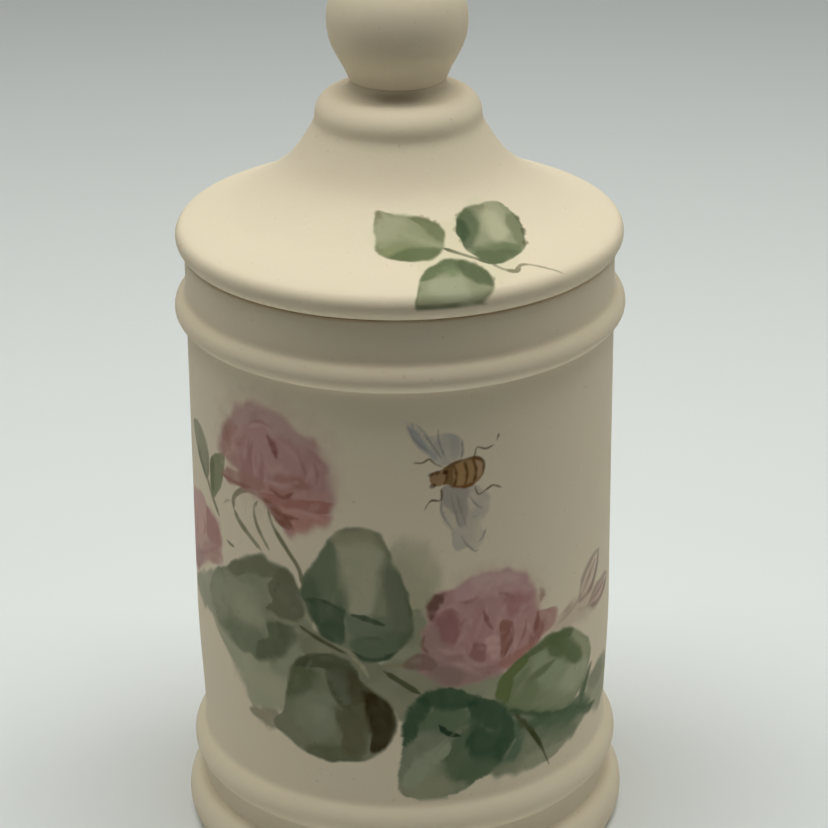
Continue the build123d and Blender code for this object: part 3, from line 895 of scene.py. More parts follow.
def leaf_four(ware):
    """The dark toothed leaf at the bottom."""
    leaf = Form(ware, [
        (-0.4, 35), (0.6, 38.2), (3, 40.8), (6, 42), (9.6, 41.7), (12.6, 39.8), (15, 38.4), (18, 36.8),
        (20, 33.6), (20.8, 30), (20, 27), (17.4, 24.6), (14.6, 22.8), (12.2, 21.6), (8.8, 20.2), (5, 19.6),
        (1.4, 19.9), (-0.8, 21.4), (-1.5, 24.2), (-0.9, 27.4), (-0.5, 31),
    ], 101, soft=0.8, uneven=0.35, teeth=36, tooth=0.25)
    leaf.wash((0.31, 0.40, 0.34))
    leaf.patch([
        (-1.4, 23), (3, 24.6), (7.4, 23.8), (9, 21), (4.6, 19.4), (-0.6, 19.8),
    ], (0.44, 0.50, 0.44), soft=1.0)
    leaf.patch([
        (7, 30), (11.6, 33), (13, 28), (13.6, 24), (8.6, 23), (6.8, 26.6),
    ], (0.165, 0.25, 0.185), soft=0.9)
    leaf.patch([(2, 34.4), (5, 38), (9.6, 37.8), (11.8, 35.4), (9, 33), (5, 31)], (0.18, 0.28, 0.21))
    leaf.patch([
        (0.4, 33), (4.6, 33.6), (8, 31.6), (6, 28), (2.2, 24), (-0.8, 23.6), (-0.8, 28),
    ], (0.34, 0.42, 0.38), soft=0.8)
    leaf.patch([
        (2, 27.8), (6.8, 31.2), (8.4, 29.8), (4.6, 25.4), (0.8, 22.4), (-0.2, 24),
    ], (0.45, 0.56, 0.51), soft=0.6)
    leaf.patch([(-1, 31), (0.2, 38), (2.6, 41), (4.8, 38.6), (3.2, 35.4), (1.6, 32)], GREEN_DEEP)
    leaf.patch([(2, 40.4), (6, 42.6), (10, 42), (13.6, 38.6), (10, 37.6), (5, 38.2)], GREEN_DEEP, 0.95)
    leaf.touches(30, 214, [GREEN_LIGHT, GREEN_DULL, GREEN_DEEP], 0.22)
    leaf.patch([
        (11.6, 38), (15.4, 39), (20.4, 34.4), (21.6, 30), (17, 24.6), (12.8, 26.2), (11, 30), (12, 34),
    ], (0.068, 0.143, 0.10), 0.95, soft=0.6)
    leaf.patch([
        (11.6, 25.8), (16, 26.4), (17, 24.2), (13, 21.6), (10.6, 22.6),
    ], (0.17, 0.26, 0.19), soft=0.9)
    leaf.rim(GREEN_DARK, 0.4, width=0.5)
    stroke(ware, [(6.1, 34.6), (7.6, 32.9), (9.9, 32)], 0.95, (0.06, 0.11, 0.08), 0.95, soft=0.15)
    strokes(ware, [
        [(11.6, 36.4), (8, 31.8), (5.4, 29)], [(13, 34.4), (15, 32.4), (17.8, 31.4)],
    ], 0.45, (0.30, 0.38, 0.32), 0.4, soft=0.3)


def leaf_five(ware):
    """The bright leaf with a spring-green rim."""
    leaf = Form(ware, [
        (16.4, 39), (17.6, 41.8), (20, 44), (23, 45.5), (26.4, 46.9), (30, 47.6), (33.4, 47), (36.8, 45),
        (40, 42), (41.6, 38.6), (40.6, 35.6), (38, 32.6), (34.4, 31), (30, 31.6), (25.6, 33),
        (21.6, 34.8), (18, 36.6),
    ], 111, soft=0.9, uneven=0.4)
    leaf.wash((0.36, 0.46, 0.36))
    leaf.patch([
        (19.4, 41), (24, 42.6), (26, 39.6), (25, 35.6), (20.6, 35.2), (18, 38),
    ], (0.30, 0.40, 0.28), soft=1.0)
    leaf.patch([
        (24, 43.6), (28, 44.6), (31, 41.6), (36, 38.8), (40, 37.6), (37.6, 34), (31, 35), (26, 38.4),
    ], (0.45, 0.57, 0.48), soft=1.2)
    leaf.patch([(32.6, 38), (39.4, 39.4), (40.4, 36), (36, 33.2), (31.6, 35)], (0.57, 0.66, 0.59), soft=1.1)
    leaf.patch([(35, 46), (38, 43.8), (41.6, 40), (39, 38), (36, 41.2)], (0.50, 0.58, 0.47), soft=1.0)
    leaf.patch([
        (16, 39), (18, 43.4), (22, 46.6), (23.6, 44.2), (20.4, 41.4), (18.9, 37),
    ], (0.21, 0.29, 0.14), 0.95)
    leaf.patch([
        (21.6, 46), (27, 48.2), (32, 48), (35.4, 46.2), (32, 44.4), (28, 45.2), (23.4, 44.6),
    ], (0.19, 0.27, 0.16), 0.95, soft=0.7)
    leaf.patch([
        (27.8, 46.8), (31, 46.8), (34.8, 44), (38.4, 39.6), (36, 38.4), (31, 42), (28, 43.6),
    ], (0.175, 0.265, 0.145), 0.9, soft=0.8)
    leaf.touches(30, 215, [GREEN_LIGHT, SPRING, GREEN_DULL], 0.22)
    leaf.rim(SPRING, 0.35, width=0.7)
    stroke(ware, [(22.8, 39.9), (26, 40.8), (29.6, 42)], 1.5, (0.26, 0.34, 0.24), 0.85, ends=0.5, soft=0.35)
    stroke(ware, [(20, 37.6), (23.6, 41), (26.8, 43.8)], 0.5, (0.50, 0.60, 0.50), 0.35, soft=0.35)
    stroke(ware, [
        (38.2, 29), (40, 32.6), (41.1, 34.4), (42.2, 35.8),
    ], 1.5, (0.17, 0.26, 0.19), 0.85, ends=0.3, soft=0.5)


def foliage(ware):
    """Leaves and thin washes behind the bright leaf."""
    under = Form(ware, [
        (14, 25.6), (16.6, 31), (18.4, 35.4), (24, 33), (31, 32), (39, 31.2), (43, 28.8), (40, 25.4),
        (34, 23), (27, 21.4), (21, 21.6), (16, 22.6),
    ], 121, soft=1.6, uneven=0.6)
    under.wash((0.33, 0.41, 0.35))
    under.patch([(17, 33), (22, 32), (22.6, 27), (20.6, 24.6), (17, 25)], (0.155, 0.26, 0.20), soft=1.2)
    under.patch([(23, 24.4), (29, 24.4), (34, 23.6), (28, 21), (22, 21)], (0.49, 0.55, 0.50), soft=1.2)
    away = Form(ware, [
        (39.4, 28.6), (40.2, 31), (42, 33.4), (45.4, 34.4), (50.6, 34), (55, 31), (54, 25.6), (49, 23.8),
        (44, 25.2),
    ], 126, soft=1.3, uneven=0.5)
    away.wash((0.47, 0.54, 0.49), 0.9)
    away.patch([(42, 33.6), (47, 34.6), (51, 31), (47, 29.2), (42, 30.4)], (0.40, 0.46, 0.41), soft=1.0)
    stroke(ware, [(38.2, 30.2), (39.4, 33.4), (41.6, 36)], 1.8, (0.20, 0.28, 0.21), 0.8, soft=0.6)
    stroke(ware, [
        (23, 31.4), (28.4, 29.8), (35, 29), (42, 28.2),
    ], 3.8, (0.16, 0.26, 0.19), 0.9, ends=0.2, soft=0.9)
    stroke(ware, [(37.4, 29.4), (41, 26.8), (45.2, 26.4)], 1.9, (0.17, 0.24, 0.18), 0.9, ends=0.4, soft=0.5)
    stroke(ware, [
        (15.4, 37.8), (18.6, 35.6), (21.4, 33.8),
    ], 2.2, (0.12, 0.19, 0.13), 0.95, ends=0.3, soft=0.4)
    stroke(ware, [
        (23.6, 29.4), (28.4, 27.6), (33, 26.6), (37, 25.2),
    ], 2.6, (0.26, 0.34, 0.28), 0.95, soft=0.8)
    stroke(ware, [
        (17, 37.2), (21, 34.8), (26, 32.8), (31.4, 31.4),
    ], 1.3, (0.12, 0.20, 0.12), 0.85, soft=0.3)
    stroke(ware, [
        (14.8, 37.5), (20, 35.2), (25, 32.6), (31, 30.8), (37, 29.2), (41.8, 27.2), (45.6, 26.4),
    ], 1.1, (0.13, 0.21, 0.15), 0.85, soft=0.3)
    stroke(ware, [
        (20.8, 33.8), (23.6, 30.4), (26.6, 26), (29.2, 20.8),
    ], 1.0, (0.10, 0.12, 0.06), 0.95, ends=0.6, soft=0.15)
    stroke(ware, [(21, 33.6), (23, 31), (25, 29.4)], 1.5, (0.13, 0.16, 0.09), 0.7, soft=0.35)


def washes(ware):
    """Thin background colour behind the leaves."""
    for seed, tint, strength, soft, outline in (
        (191, (0.41, 0.47, 0.40), 1.0, 2.4, [
            (-3, 67), (1.4, 66.4), (4.6, 62.6), (5, 57), (4, 52), (0.6, 51), (-2, 60)]),
        (198, (0.66, 0.70, 0.64), 0.9, 3.4, [
            (-2, 70.5), (2.6, 70.5), (6, 66), (6.4, 60), (5, 54), (1, 54), (-2, 62)]),
        (192, (0.34, 0.39, 0.34), 1.0, 1.2, [
            (-19.6, 52), (-12, 51.6), (-6, 48.6), (-3, 45.4), (-7, 43), (-12, 46.6), (-18, 47), (-21, 50)]),
        (193, (0.37, 0.41, 0.37), 1.0, 1.3, [
            (-6, 46.6), (0, 48), (6, 45.6), (12, 43), (14, 39.4), (7, 39), (0, 36), (-3.4, 38.6),
            (-7, 42)]),
        (194, (0.53, 0.60, 0.55), 1.0, 2.4, [
            (-43, 46.6), (-34, 46), (-26, 45), (-20, 42), (-21, 37), (-25, 33.4), (-30, 33.2), (-33, 37),
            (-37, 41)]),
        (195, (0.45, 0.46, 0.42), 1.0, 1.1, [
            (-31.4, 32), (-28, 33.6), (-24.4, 33.4), (-23.6, 30.4), (-28, 30.2)]),
        (196, (0.50, 0.56, 0.54), 1.0, 1.8, [
            (-53, 50), (-46, 53.4), (-41.6, 55.6), (-39, 50), (-41, 46.6), (-48, 46), (-53, 47.6)]),
        (197, (0.82, 0.75, 0.76), 0.8, 1.8, [
            (28, 48), (33, 51.4), (40, 52), (47, 50.6), (50, 48), (44, 46.6), (36, 46.8)]),
        (199, (0.44, 0.51, 0.45), 1.0, 1.2, [
            (8, 43.6), (12, 44.6), (17, 44.2), (19, 41.6), (17.6, 38), (14, 37.2), (11, 38), (8, 40.6)]),
        (200, (0.41, 0.47, 0.41), 1.0, 1.2, [
            (-3, 50.5), (0, 53.4), (1.4, 57.4), (3.2, 57.6), (4, 53), (3.6, 49.4), (1, 47.4), (-3, 47.6)]),
        (201, (0.43, 0.51, 0.46), 1.0, 1.2, [
            (-24, 47), (-21, 49.8), (-18.4, 47.4), (-19.4, 43.6), (-22.4, 41.4), (-25.6, 42.6)]),
        (202, (0.40, 0.46, 0.40), 1.0, 0.8, [
            (-19.8, 57), (-17.2, 57.2), (-15.8, 53), (-18, 50.4), (-20.6, 53)]),
    ):
        wash = Form(ware, outline, seed, soft, uneven=0.7)
        wash.wash(tint, strength, patchy=0.08)


def stems(ware):
    """Stems, and the two small leaves beside the first rose."""
    stroke(ware, [
        (-24.6, 74.6), (-28.6, 75.8), (-31.4, 75), (-33.6, 73), (-33.8, 70.8),
    ], 1.0, (0.30, 0.30, 0.24), 0.85, ends=0.1)
    stroke(ware, [(-33.6, 70.6), (-32.4, 69), (-30, 67.2), (-26.8, 65)], 1.0, STEM, 0.9, ends=0.15)
    stroke(ware, [(-27.4, 74.2), (-28.3, 72.4), (-27.6, 69.4), (-25, 65.6)], 0.75, STEM, 0.85, ends=0.15)
    stroke(ware, [
        (-25, 73.6), (-24, 70.6), (-21, 66.6), (-18.8, 63.6), (-18, 60.4),
    ], 0.8, (0.33, 0.35, 0.28), 0.9, ends=0.1)
    stroke(ware, [
        (-19, 52.6), (-16.4, 51.3), (-13.4, 50), (-10, 48.8),
    ], 0.75, (0.17, 0.19, 0.13), 0.9, ends=0.15)
    stroke(ware, [
        (-18.3, 60), (-18, 56), (-15.6, 52.4), (-11, 49.7), (-8, 48.2),
    ], 0.7, (0.58, 0.62, 0.54), 0.5, ends=0.1)
    stroke(ware, [(-9.6, 48.4), (-7.6, 46.8), (-6.2, 44.4)], 0.7, (0.56, 0.60, 0.52), 0.8)
    stroke(ware, [(-3.6, 45.8), (-0.8, 43.8), (2.8, 41.2)], 0.9, (0.16, 0.19, 0.13), 0.9, ends=0.25)
    stroke(ware, [(-4, 46.6), (-1, 46.9), (4.6, 46.2)], 0.6, (0.42, 0.40, 0.28), 0.7)
    stroke(ware, [(-43.6, 74), (-41, 70.4), (-38.6, 67.6)], 0.85, STEM, 0.85, ends=0.2)
    stroke(ware, [(-36.8, 70.8), (-35.8, 71.6), (-34.6, 72)], 0.5, (0.55, 0.56, 0.48), 0.6)
    stroke(ware, [(-36.2, 63.8), (-35.2, 63.4), (-34, 63.3)], 0.6, GREEN_DULL, 0.8)
    small = Form(ware, [
        (-50.4, 81), (-48.4, 82.4), (-45.8, 82.2), (-43.2, 80.6), (-42, 77.8), (-42.2, 74.6), (-43.4, 72.8),
        (-45.8, 74.6), (-48.4, 77.6),
    ], 131, soft=0.7, uneven=0.25)
    small.wash((0.45, 0.49, 0.44), 0.97)
    small.patch([(-49, 78), (-46, 77), (-43.6, 73.6), (-46, 74), (-48.6, 76)], (0.35, 0.39, 0.34))
    small.rim(GREEN_DULL, 0.5)
    bud_leaf = Form(ware, [
        (-40.6, 70.4), (-41.7, 73.4), (-41.5, 76.6), (-40.2, 78.8), (-38, 80), (-36, 80.6), (-36.2, 78),
        (-36.9, 75.2), (-38.4, 72.6),
    ], 141, soft=0.6, uneven=0.2)
    bud_leaf.wash((0.34, 0.41, 0.30))
    bud_leaf.patch([(-41.6, 72), (-41.4, 77.4), (-40, 78), (-39.6, 75), (-40.4, 72)], (0.27, 0.32, 0.24))


def buds(ware):
    """Half-open buds at the right-hand side."""
    for middle, length, wide, turn in (((40.6, 54.2), 5.2, 2.6, 42), ((45.6, 49.2), 5.6, 1.9, 8)):
        dab(ware, middle, (length, wide), turn, (0.78, 0.66, 0.70), 0.75)
        c, s = cos(radians(turn)), sin(radians(turn))
        for side, strength in ((-1, 0.8), (1, 0.6)):
            curve = (
                (-length, 0.1), (-0.3 * length, 0.85 * wide), (0.5 * length, 0.7 * wide), (length, 0.1),
            )
            points = [
                (middle[0] + c * u - s * v * side, middle[1] + s * u + c * v * side) for u, v in curve
            ]
            stroke(ware, points, 1.0, (0.46, 0.38, 0.40), strength, soft=0.4)
        inner = [
            (middle[0] + c * u - s * 0.2, middle[1] + s * u + c * 0.2)
            for u in (-0.9 * length, 0, 0.6 * length)
        ]
        stroke(ware, inner, 0.7, (0.50, 0.38, 0.42), 0.7, soft=0.3)
    dab(ware, (33.2, 50.6), (2.2, 1.1), 15, (0.62, 0.50, 0.52), 0.7)
    stroke(ware, [(30, 48.8), (34, 50), (37.4, 51.8)], 0.6, (0.68, 0.62, 0.60), 0.7, soft=0.25)
    stroke(ware, [(36, 49.4), (39, 48.6), (41.4, 48.4)], 0.6, (0.66, 0.66, 0.60), 0.6, soft=0.25)


def bee(ware):
    """The bee above the second rose, head to the left."""
    upper = Form(ware, [
        (0.9, 92.4), (2.4, 92.6), (4, 90), (6.2, 90.4), (9, 90.2), (10.4, 88.4), (10.4, 85.6), (7, 84.6),
        (4.6, 86.4), (2.2, 89),
    ], 145, soft=0.5, uneven=0.3)
    upper.wash((0.60, 0.64, 0.74), 0.85, patchy=0.3, scale=1.5)
    lower = Form(ware, [
        (7, 80.6), (6.5, 77.4), (6.8, 74.4), (8.4, 72), (8.6, 69.4), (9.4, 68), (11.2, 68.6), (13, 68),
        (14.4, 70), (14, 73), (15.4, 75), (15.4, 77.4), (13.8, 79.4), (12, 80.6), (9.4, 80.4),
    ], 146, soft=0.6, uneven=0.3)
    lower.wash((0.66, 0.68, 0.76), 0.85, patchy=0.3, scale=1.5)
    lower.patch([
        (7, 80.6), (11.4, 80), (11, 76.4), (9.4, 75), (6.8, 77),
    ], (0.54, 0.54, 0.61), 0.9, soft=0.5)
    lower.patch([
        (9, 77.6), (10.6, 77.6), (11, 74), (10, 72.6), (9.2, 74),
    ], (0.56, 0.56, 0.63), 0.8, soft=0.4)
    dab(ware, (2.5, 90), (3.6, 1.0), -58, WING_BLUE, 0.85)
    dab(ware, (4.6, 87.4), (3, 0.7), -52, WING_BLUE, 0.6)
    dab(ware, (9, 87.6), (1.2, 2.4), 0, (0.54, 0.58, 0.68), 0.6)
    strokes(ware, [
        [(1, 92.2), (2.2, 89.6), (4.8, 87)], [(3.8, 90.6), (5.2, 88.4), (6.8, 85.8)],
        [(6.2, 91.2), (6.3, 89), (7.4, 85.8)], [(10.3, 88.8), (10.4, 87), (10.2, 85.6)],
        [(6.8, 78.6), (6.7, 75.8), (8.6, 72.4)], [(8.2, 79.4), (9, 76), (9.8, 72.8)],
        [(9.3, 79), (10.2, 75.6), (11.2, 72.2)], [(11.6, 78.4), (12.8, 76.6), (14, 75.6)],
        [(10.2, 71), (11, 69.4), (12.6, 67.8), (13.2, 68)], [(14.6, 71.6), (14, 70.2), (13.2, 69.4)],
        [(12.2, 74.4), (13, 74.2)],
    ], 0.34, WING_LINE, 0.8, soft=0.16)
    strokes(ware, [
        [(7, 84.2), (5.6, 85), (4.6, 85.9), (3.4, 85.3), (1.9, 85.4)],
        [(6.7, 80.4), (6.6, 78.2), (5, 78.2), (4.2, 77.4), (3.8, 76.5)],
        [(12.5, 85), (12.7, 86.4), (13.1, 87.2), (14.6, 86.7), (16.1, 87.1)],
        [(16.6, 87.9), (16.9, 88.4), (17, 89)],
        [(12.6, 80), (13, 78.8), (13.5, 78.4), (15, 79.2), (16, 79.6), (17.6, 78.9)],
    ], 0.36, (0.26, 0.20, 0.14), 0.85, ends=0.12, soft=0.12)
    body = Form(ware, [
        (4.6, 82.2), (5, 83.4), (6.4, 83.7), (7.4, 84.2), (8.6, 84.5), (10.4, 85.1), (12.6, 85.3),
        (14, 84.6), (14.3, 82.8), (13.2, 81), (11.4, 80.3), (9.2, 80.4), (7.6, 81), (5.4, 80.8),
    ], 151, soft=0.3, uneven=0.15)
    body.wash((0.46, 0.30, 0.17), 0.97, patchy=0.05)
    body.patch([(7.6, 84.6), (8.8, 84.4), (8.6, 80.6), (7.4, 81)], (0.28, 0.19, 0.09), 0.8, soft=0.3)
    body.patch([(9.4, 84.2), (10.6, 84.4), (10.6, 81), (9.3, 81)], BEE_GOLD, 0.9, soft=0.35)
    body.patch([(11.3, 84.4), (12.3, 84.4), (12.3, 81.4), (11.2, 81.2)], BEE_GOLD, 0.85, soft=0.35)
    body.patch([(12.8, 84.6), (13.9, 84.2), (13.9, 82), (12.8, 81.6)], (0.68, 0.52, 0.42), 0.9, soft=0.35)
    for x, low, high in ((7.2, 81, 84), (8.9, 80.5, 84.5), (10.8, 80.3, 84.9), (12.4, 80.7, 85)):
        stroke(ware, [
            (x - 0.1, high), (x + 0.45, (high + low) / 2), (x, low),
        ], 0.5, BEE_BROWN, 0.85, ends=0.1)
    stroke(ware, [
        (7.2, 84.1), (10, 85.1), (12.8, 85.3), (14.2, 84.2), (14.1, 82),
    ], 0.55, BEE_BROWN, 0.85, ends=0.15)
    stroke(ware, [(8.2, 80.6), (10.6, 80.2), (12.6, 80.6)], 0.55, (0.30, 0.16, 0.07), 0.85, ends=0.15)
    for x, y in ((4.9, 83), (5.2, 80.9), (7.4, 83.3), (6, 83.3)):
        dab(ware, (x, y), (0.7, 0.5), 20, (0.12, 0.07, 0.04), 0.9)


def lid_spray(ware):
    """Three toothed leaves on a stalk, on the front of the lid."""
    halo = Form(ware, [
        (-13, 7), (-8, 12), (0, 8), (8, 12.6), (13.6, 6), (10, -3), (3, -9), (-7, -8), (-7, 0),
    ], 158, soft=1.8)
    halo.wash((0.90, 0.95, 0.88), 0.7)
    stroke(ware, [(-1.4, 2.6), (1, 1), (3.4, -0.5), (6.4, -2.2)], 0.85, (0.18, 0.22, 0.16), 0.95, ends=0.15)
    stroke(ware, [
        (5.8, -2.1), (7.4, -3.6), (9.4, -4.2), (10.4, -3),
    ], 0.8, (0.36, 0.38, 0.32), 0.95, ends=0.1)
    stroke(ware, [
        (9.7, -3.9), (11, -2.7), (13.4, -3), (17.8, -4.7),
    ], 0.55, (0.44, 0.44, 0.38), 0.95, ends=0.2)
    left = Form(ware, [
        (-0.3, 6.2), (-1.1, 8), (-3.2, 9.5), (-6.2, 10.8), (-8.4, 11.9), (-9.9, 13), (-10.9, 11),
        (-11.7, 8), (-12.3, 5), (-10.6, 2.5), (-7.6, 0.9), (-4.4, 0.5), (-2, 1.8), (-0.9, 4),
    ], 161, soft=0.7, uneven=0.2)
    left.wash((0.36, 0.43, 0.32))
    left.patch([(-10.4, 13), (-7, 10.6), (-5.6, 8), (-8, 6.6), (-12, 7.6)], (0.50, 0.56, 0.47), soft=1.4)
    left.patch([(-7.4, 8.4), (-4.6, 8.4), (-3.6, 5), (-5.4, 4), (-8, 6)], (0.41, 0.48, 0.38), soft=1.2)
    left.patch([
        (-5.6, 10.4), (-1.6, 8.8), (-0.2, 6.4), (-1.2, 4.2), (-2.8, 5.6), (-3.8, 8),
    ], (0.24, 0.30, 0.20), soft=0.9)
    left.patch([(-12.2, 4.6), (-9, 5.4), (-6, 4.6), (-7, 3.2), (-11, 3)], (0.33, 0.40, 0.27), soft=1.0)
    left.patch([
        (-10.8, 2.6), (-7, 3.8), (-4, 3.4), (-2, 1.8), (-6, -0.2), (-10, 0.8),
    ], (0.18, 0.25, 0.155), soft=0.9)
    left.rim((0.20, 0.25, 0.16), 0.6, width=0.5, fade=1.4)
    left.notches(10, 44, 5, (0.20, 0.22, 0.15), 0.7)
    stroke(ware, [(-1.2, 2.9), (-4.2, 4.6), (-7.6, 7.8)], 0.8, (0.47, 0.55, 0.44), 0.7, soft=0.35)
    dab(ware, (-10, 12.2), (0.65, 1.3), 15, (0.24, 0.25, 0.17), 0.75)
    dab(ware, (-11.9, 4.9), (0.9, 0.5), -30, (0.30, 0.33, 0.24), 0.7)
    right = Form(ware, [
        (2.3, 2.4), (2, 6.6), (3.2, 9.2), (5.6, 11), (8.4, 11.8), (11.7, 12.3), (13.4, 10.6), (14.2, 7.6),
        (13.9, 4), (12.6, 1.2), (9.2, -1.3), (5.8, -1.9), (3.7, 0),
    ], 171, soft=0.6, uneven=0.25)
    right.wash((0.36, 0.43, 0.35))
    right.patch([(5, 11.8), (8, 12.6), (9, 10.8), (7, 9.4), (4.4, 9.8)], (0.31, 0.36, 0.28), soft=0.8)
    right.patch([(8.6, 12), (11.4, 12.4), (12.2, 9), (11, 6.6), (8.6, 8)], (0.50, 0.56, 0.48), soft=0.9)
    right.patch([
        (7.4, 10), (10, 10.2), (11, 7), (10.4, 4), (8.2, 3.6), (7.2, 6),
    ], (0.61, 0.68, 0.60), soft=1.2)
    right.patch([(12, 9.6), (14.5, 8.4), (14.4, 4.4), (13, 1.4), (11.8, 4)], (0.28, 0.34, 0.26), soft=0.7)
    right.patch([
        (3.2, 1.6), (6, 2.6), (10.4, 2.8), (12.6, 2), (10, -1.4), (6, -2.6), (3.6, -1),
    ], (0.21, 0.285, 0.20), soft=0.9)
    right.patch([(4, 0.8), (8, 1.2), (11, 0.8), (8, -1.6), (5, -2)], (0.165, 0.225, 0.155), 0.8, soft=0.8)
    right.patch([
        (1.3, 2.6), (1.3, 6.8), (3.4, 10), (5.8, 10.6), (6.2, 7), (4.8, 4), (3, 1.6),
    ], (0.16, 0.22, 0.155), soft=0.9)
    right.patch([(1.3, 4), (1.5, 7.4), (3.3, 8.4), (4.1, 5.6), (3, 3.6)], (0.10, 0.155, 0.10), soft=0.7)
    right.rim((0.16, 0.21, 0.14), 0.65, width=0.45, fade=1.4)
    right.notches(-22, 52, 8, (0.17, 0.19, 0.13), 0.95)
    right.notches(140, 190, 6, (0.14, 0.18, 0.12), 0.55)
    bottom = Form(ware, [
        (-0.6, -0.2), (-3.2, -0.4), (-5.6, -1.8), (-7.4, -4), (-8.6, -6.4), (-9.6, -8.5), (-8, -9.6),
        (-4, -10.1), (0.8, -9.9), (3.2, -8.9), (4.5, -6.8), (4.4, -4.2), (3, -2), (1.2, -0.6),
    ], 181, soft=0.7, uneven=0.25)
    bottom.wash((0.35, 0.42, 0.33))
    bottom.patch([
        (-5.6, -4.6), (-1.2, -3.8), (0.2, -6.2), (0.2, -9.6), (-4.4, -8.8), (-7, -6.8),
    ], (0.49, 0.57, 0.50), soft=1.2)
    bottom.patch([
        (-6.4, -1.8), (-3.2, 0.2), (-0.2, 0.2), (0, -2.4), (-3.2, -3.2), (-7.4, -4),
    ], (0.185, 0.26, 0.175), soft=0.8)
    bottom.patch([(-3, -2), (-1, -1.8), (0, -3.4), (-1.6, -4)], (0.28, 0.38, 0.27), soft=0.7)
    bottom.patch([
        (0.3, -0.6), (3, -1.4), (5.2, -5), (4.6, -7.6), (2.4, -6.6), (0.5, -4),
    ], (0.145, 0.20, 0.135), soft=0.6)
    bottom.patch([(1.8, -7.4), (4.4, -7.6), (3.6, -9.6), (0.8, -9.8)], (0.40, 0.46, 0.38), soft=0.9)
    bottom.patch([(-9.4, -8.6), (-6, -9.1), (-2.4, -9.6), (-6, -10.6)], (0.28, 0.33, 0.25), soft=0.6)
    bottom.rim((0.18, 0.22, 0.15), 0.65, width=0.45, fade=1.4)
    bottom.notches(-14, 34, 5, (0.17, 0.19, 0.13), 0.6)


def paint_jar(surface):
    """The decoration goes on unrolled, from the layers behind to those in front."""
    place, azimuth = surface.painted_grid()
    ware = Ware(azimuth * BODY_RADIUS, place[..., 2])
    behind = (washes, foliage, stems, side_flower)
    front = (rose_one, leaf_one, leaf_two, leaf_three, rose_two, leaf_five, leaf_four, buds, bee)
    for layer in (*behind, *front):
        layer(ware)
    surface.take_paint(ware.fired())


SPRAY_TURN = 17.5            # degrees from the front to the middle of the lid's spray
SPRAY_RADIUS = 31.0          # from the axis to that middle


def paint_lid(surface):
    """The spray is laid out flat, on the plane that touches the flare in its middle."""
    place, _ = surface.painted_grid()
    turn, radius = radians(SPRAY_TURN), SPRAY_RADIUS
    rows = np.arange(surface.first, surface.last)
    radii, heights = (np.interp(rows, surface.row_at, surface.points[:, axis]) for axis in (0, 1))
    height = np.interp(-radius, -radii, heights)
    middle = np.array([radius * sin(turn), -radius * cos(turn), height])
    across = np.array([cos(turn), sin(turn), 0])
    slope = radians(BRIM_SLOPE)
    up = np.array([-sin(turn) * cos(slope), cos(turn) * cos(slope), sin(slope)])
    ware = Ware((place - middle) @ across, (place - middle) @ up)
    lid_spray(ware)
    surface.take_paint(ware.fired(), tolerance=0.035)


# ---------------------------------------------------------------- materials

CREAM = (0.785, 0.684, 0.518)
WARM_CREAM = (0.80, 0.679, 0.498)
SPECK_BROWN = (0.42, 0.33, 0.23)
PAPER_DARK = (0.785, 0.80, 0.785)
PAPER_LIGHT = (0.815, 0.83, 0.815)


def node(tree, kind, inputs=None, **settings):
    """Adds a shader node, sets its fields, and sets or links its inputs."""
    made = tree.nodes.new(kind)
    for name, value in settings.items():
        setattr(made, name, value)
    for name, value in (inputs or {}).items():
        if isinstance(value, bpy.types.NodeSocket):
            tree.links.new(value, made.inputs[name])
        else:
            made.inputs[name].default_value = value
    return made


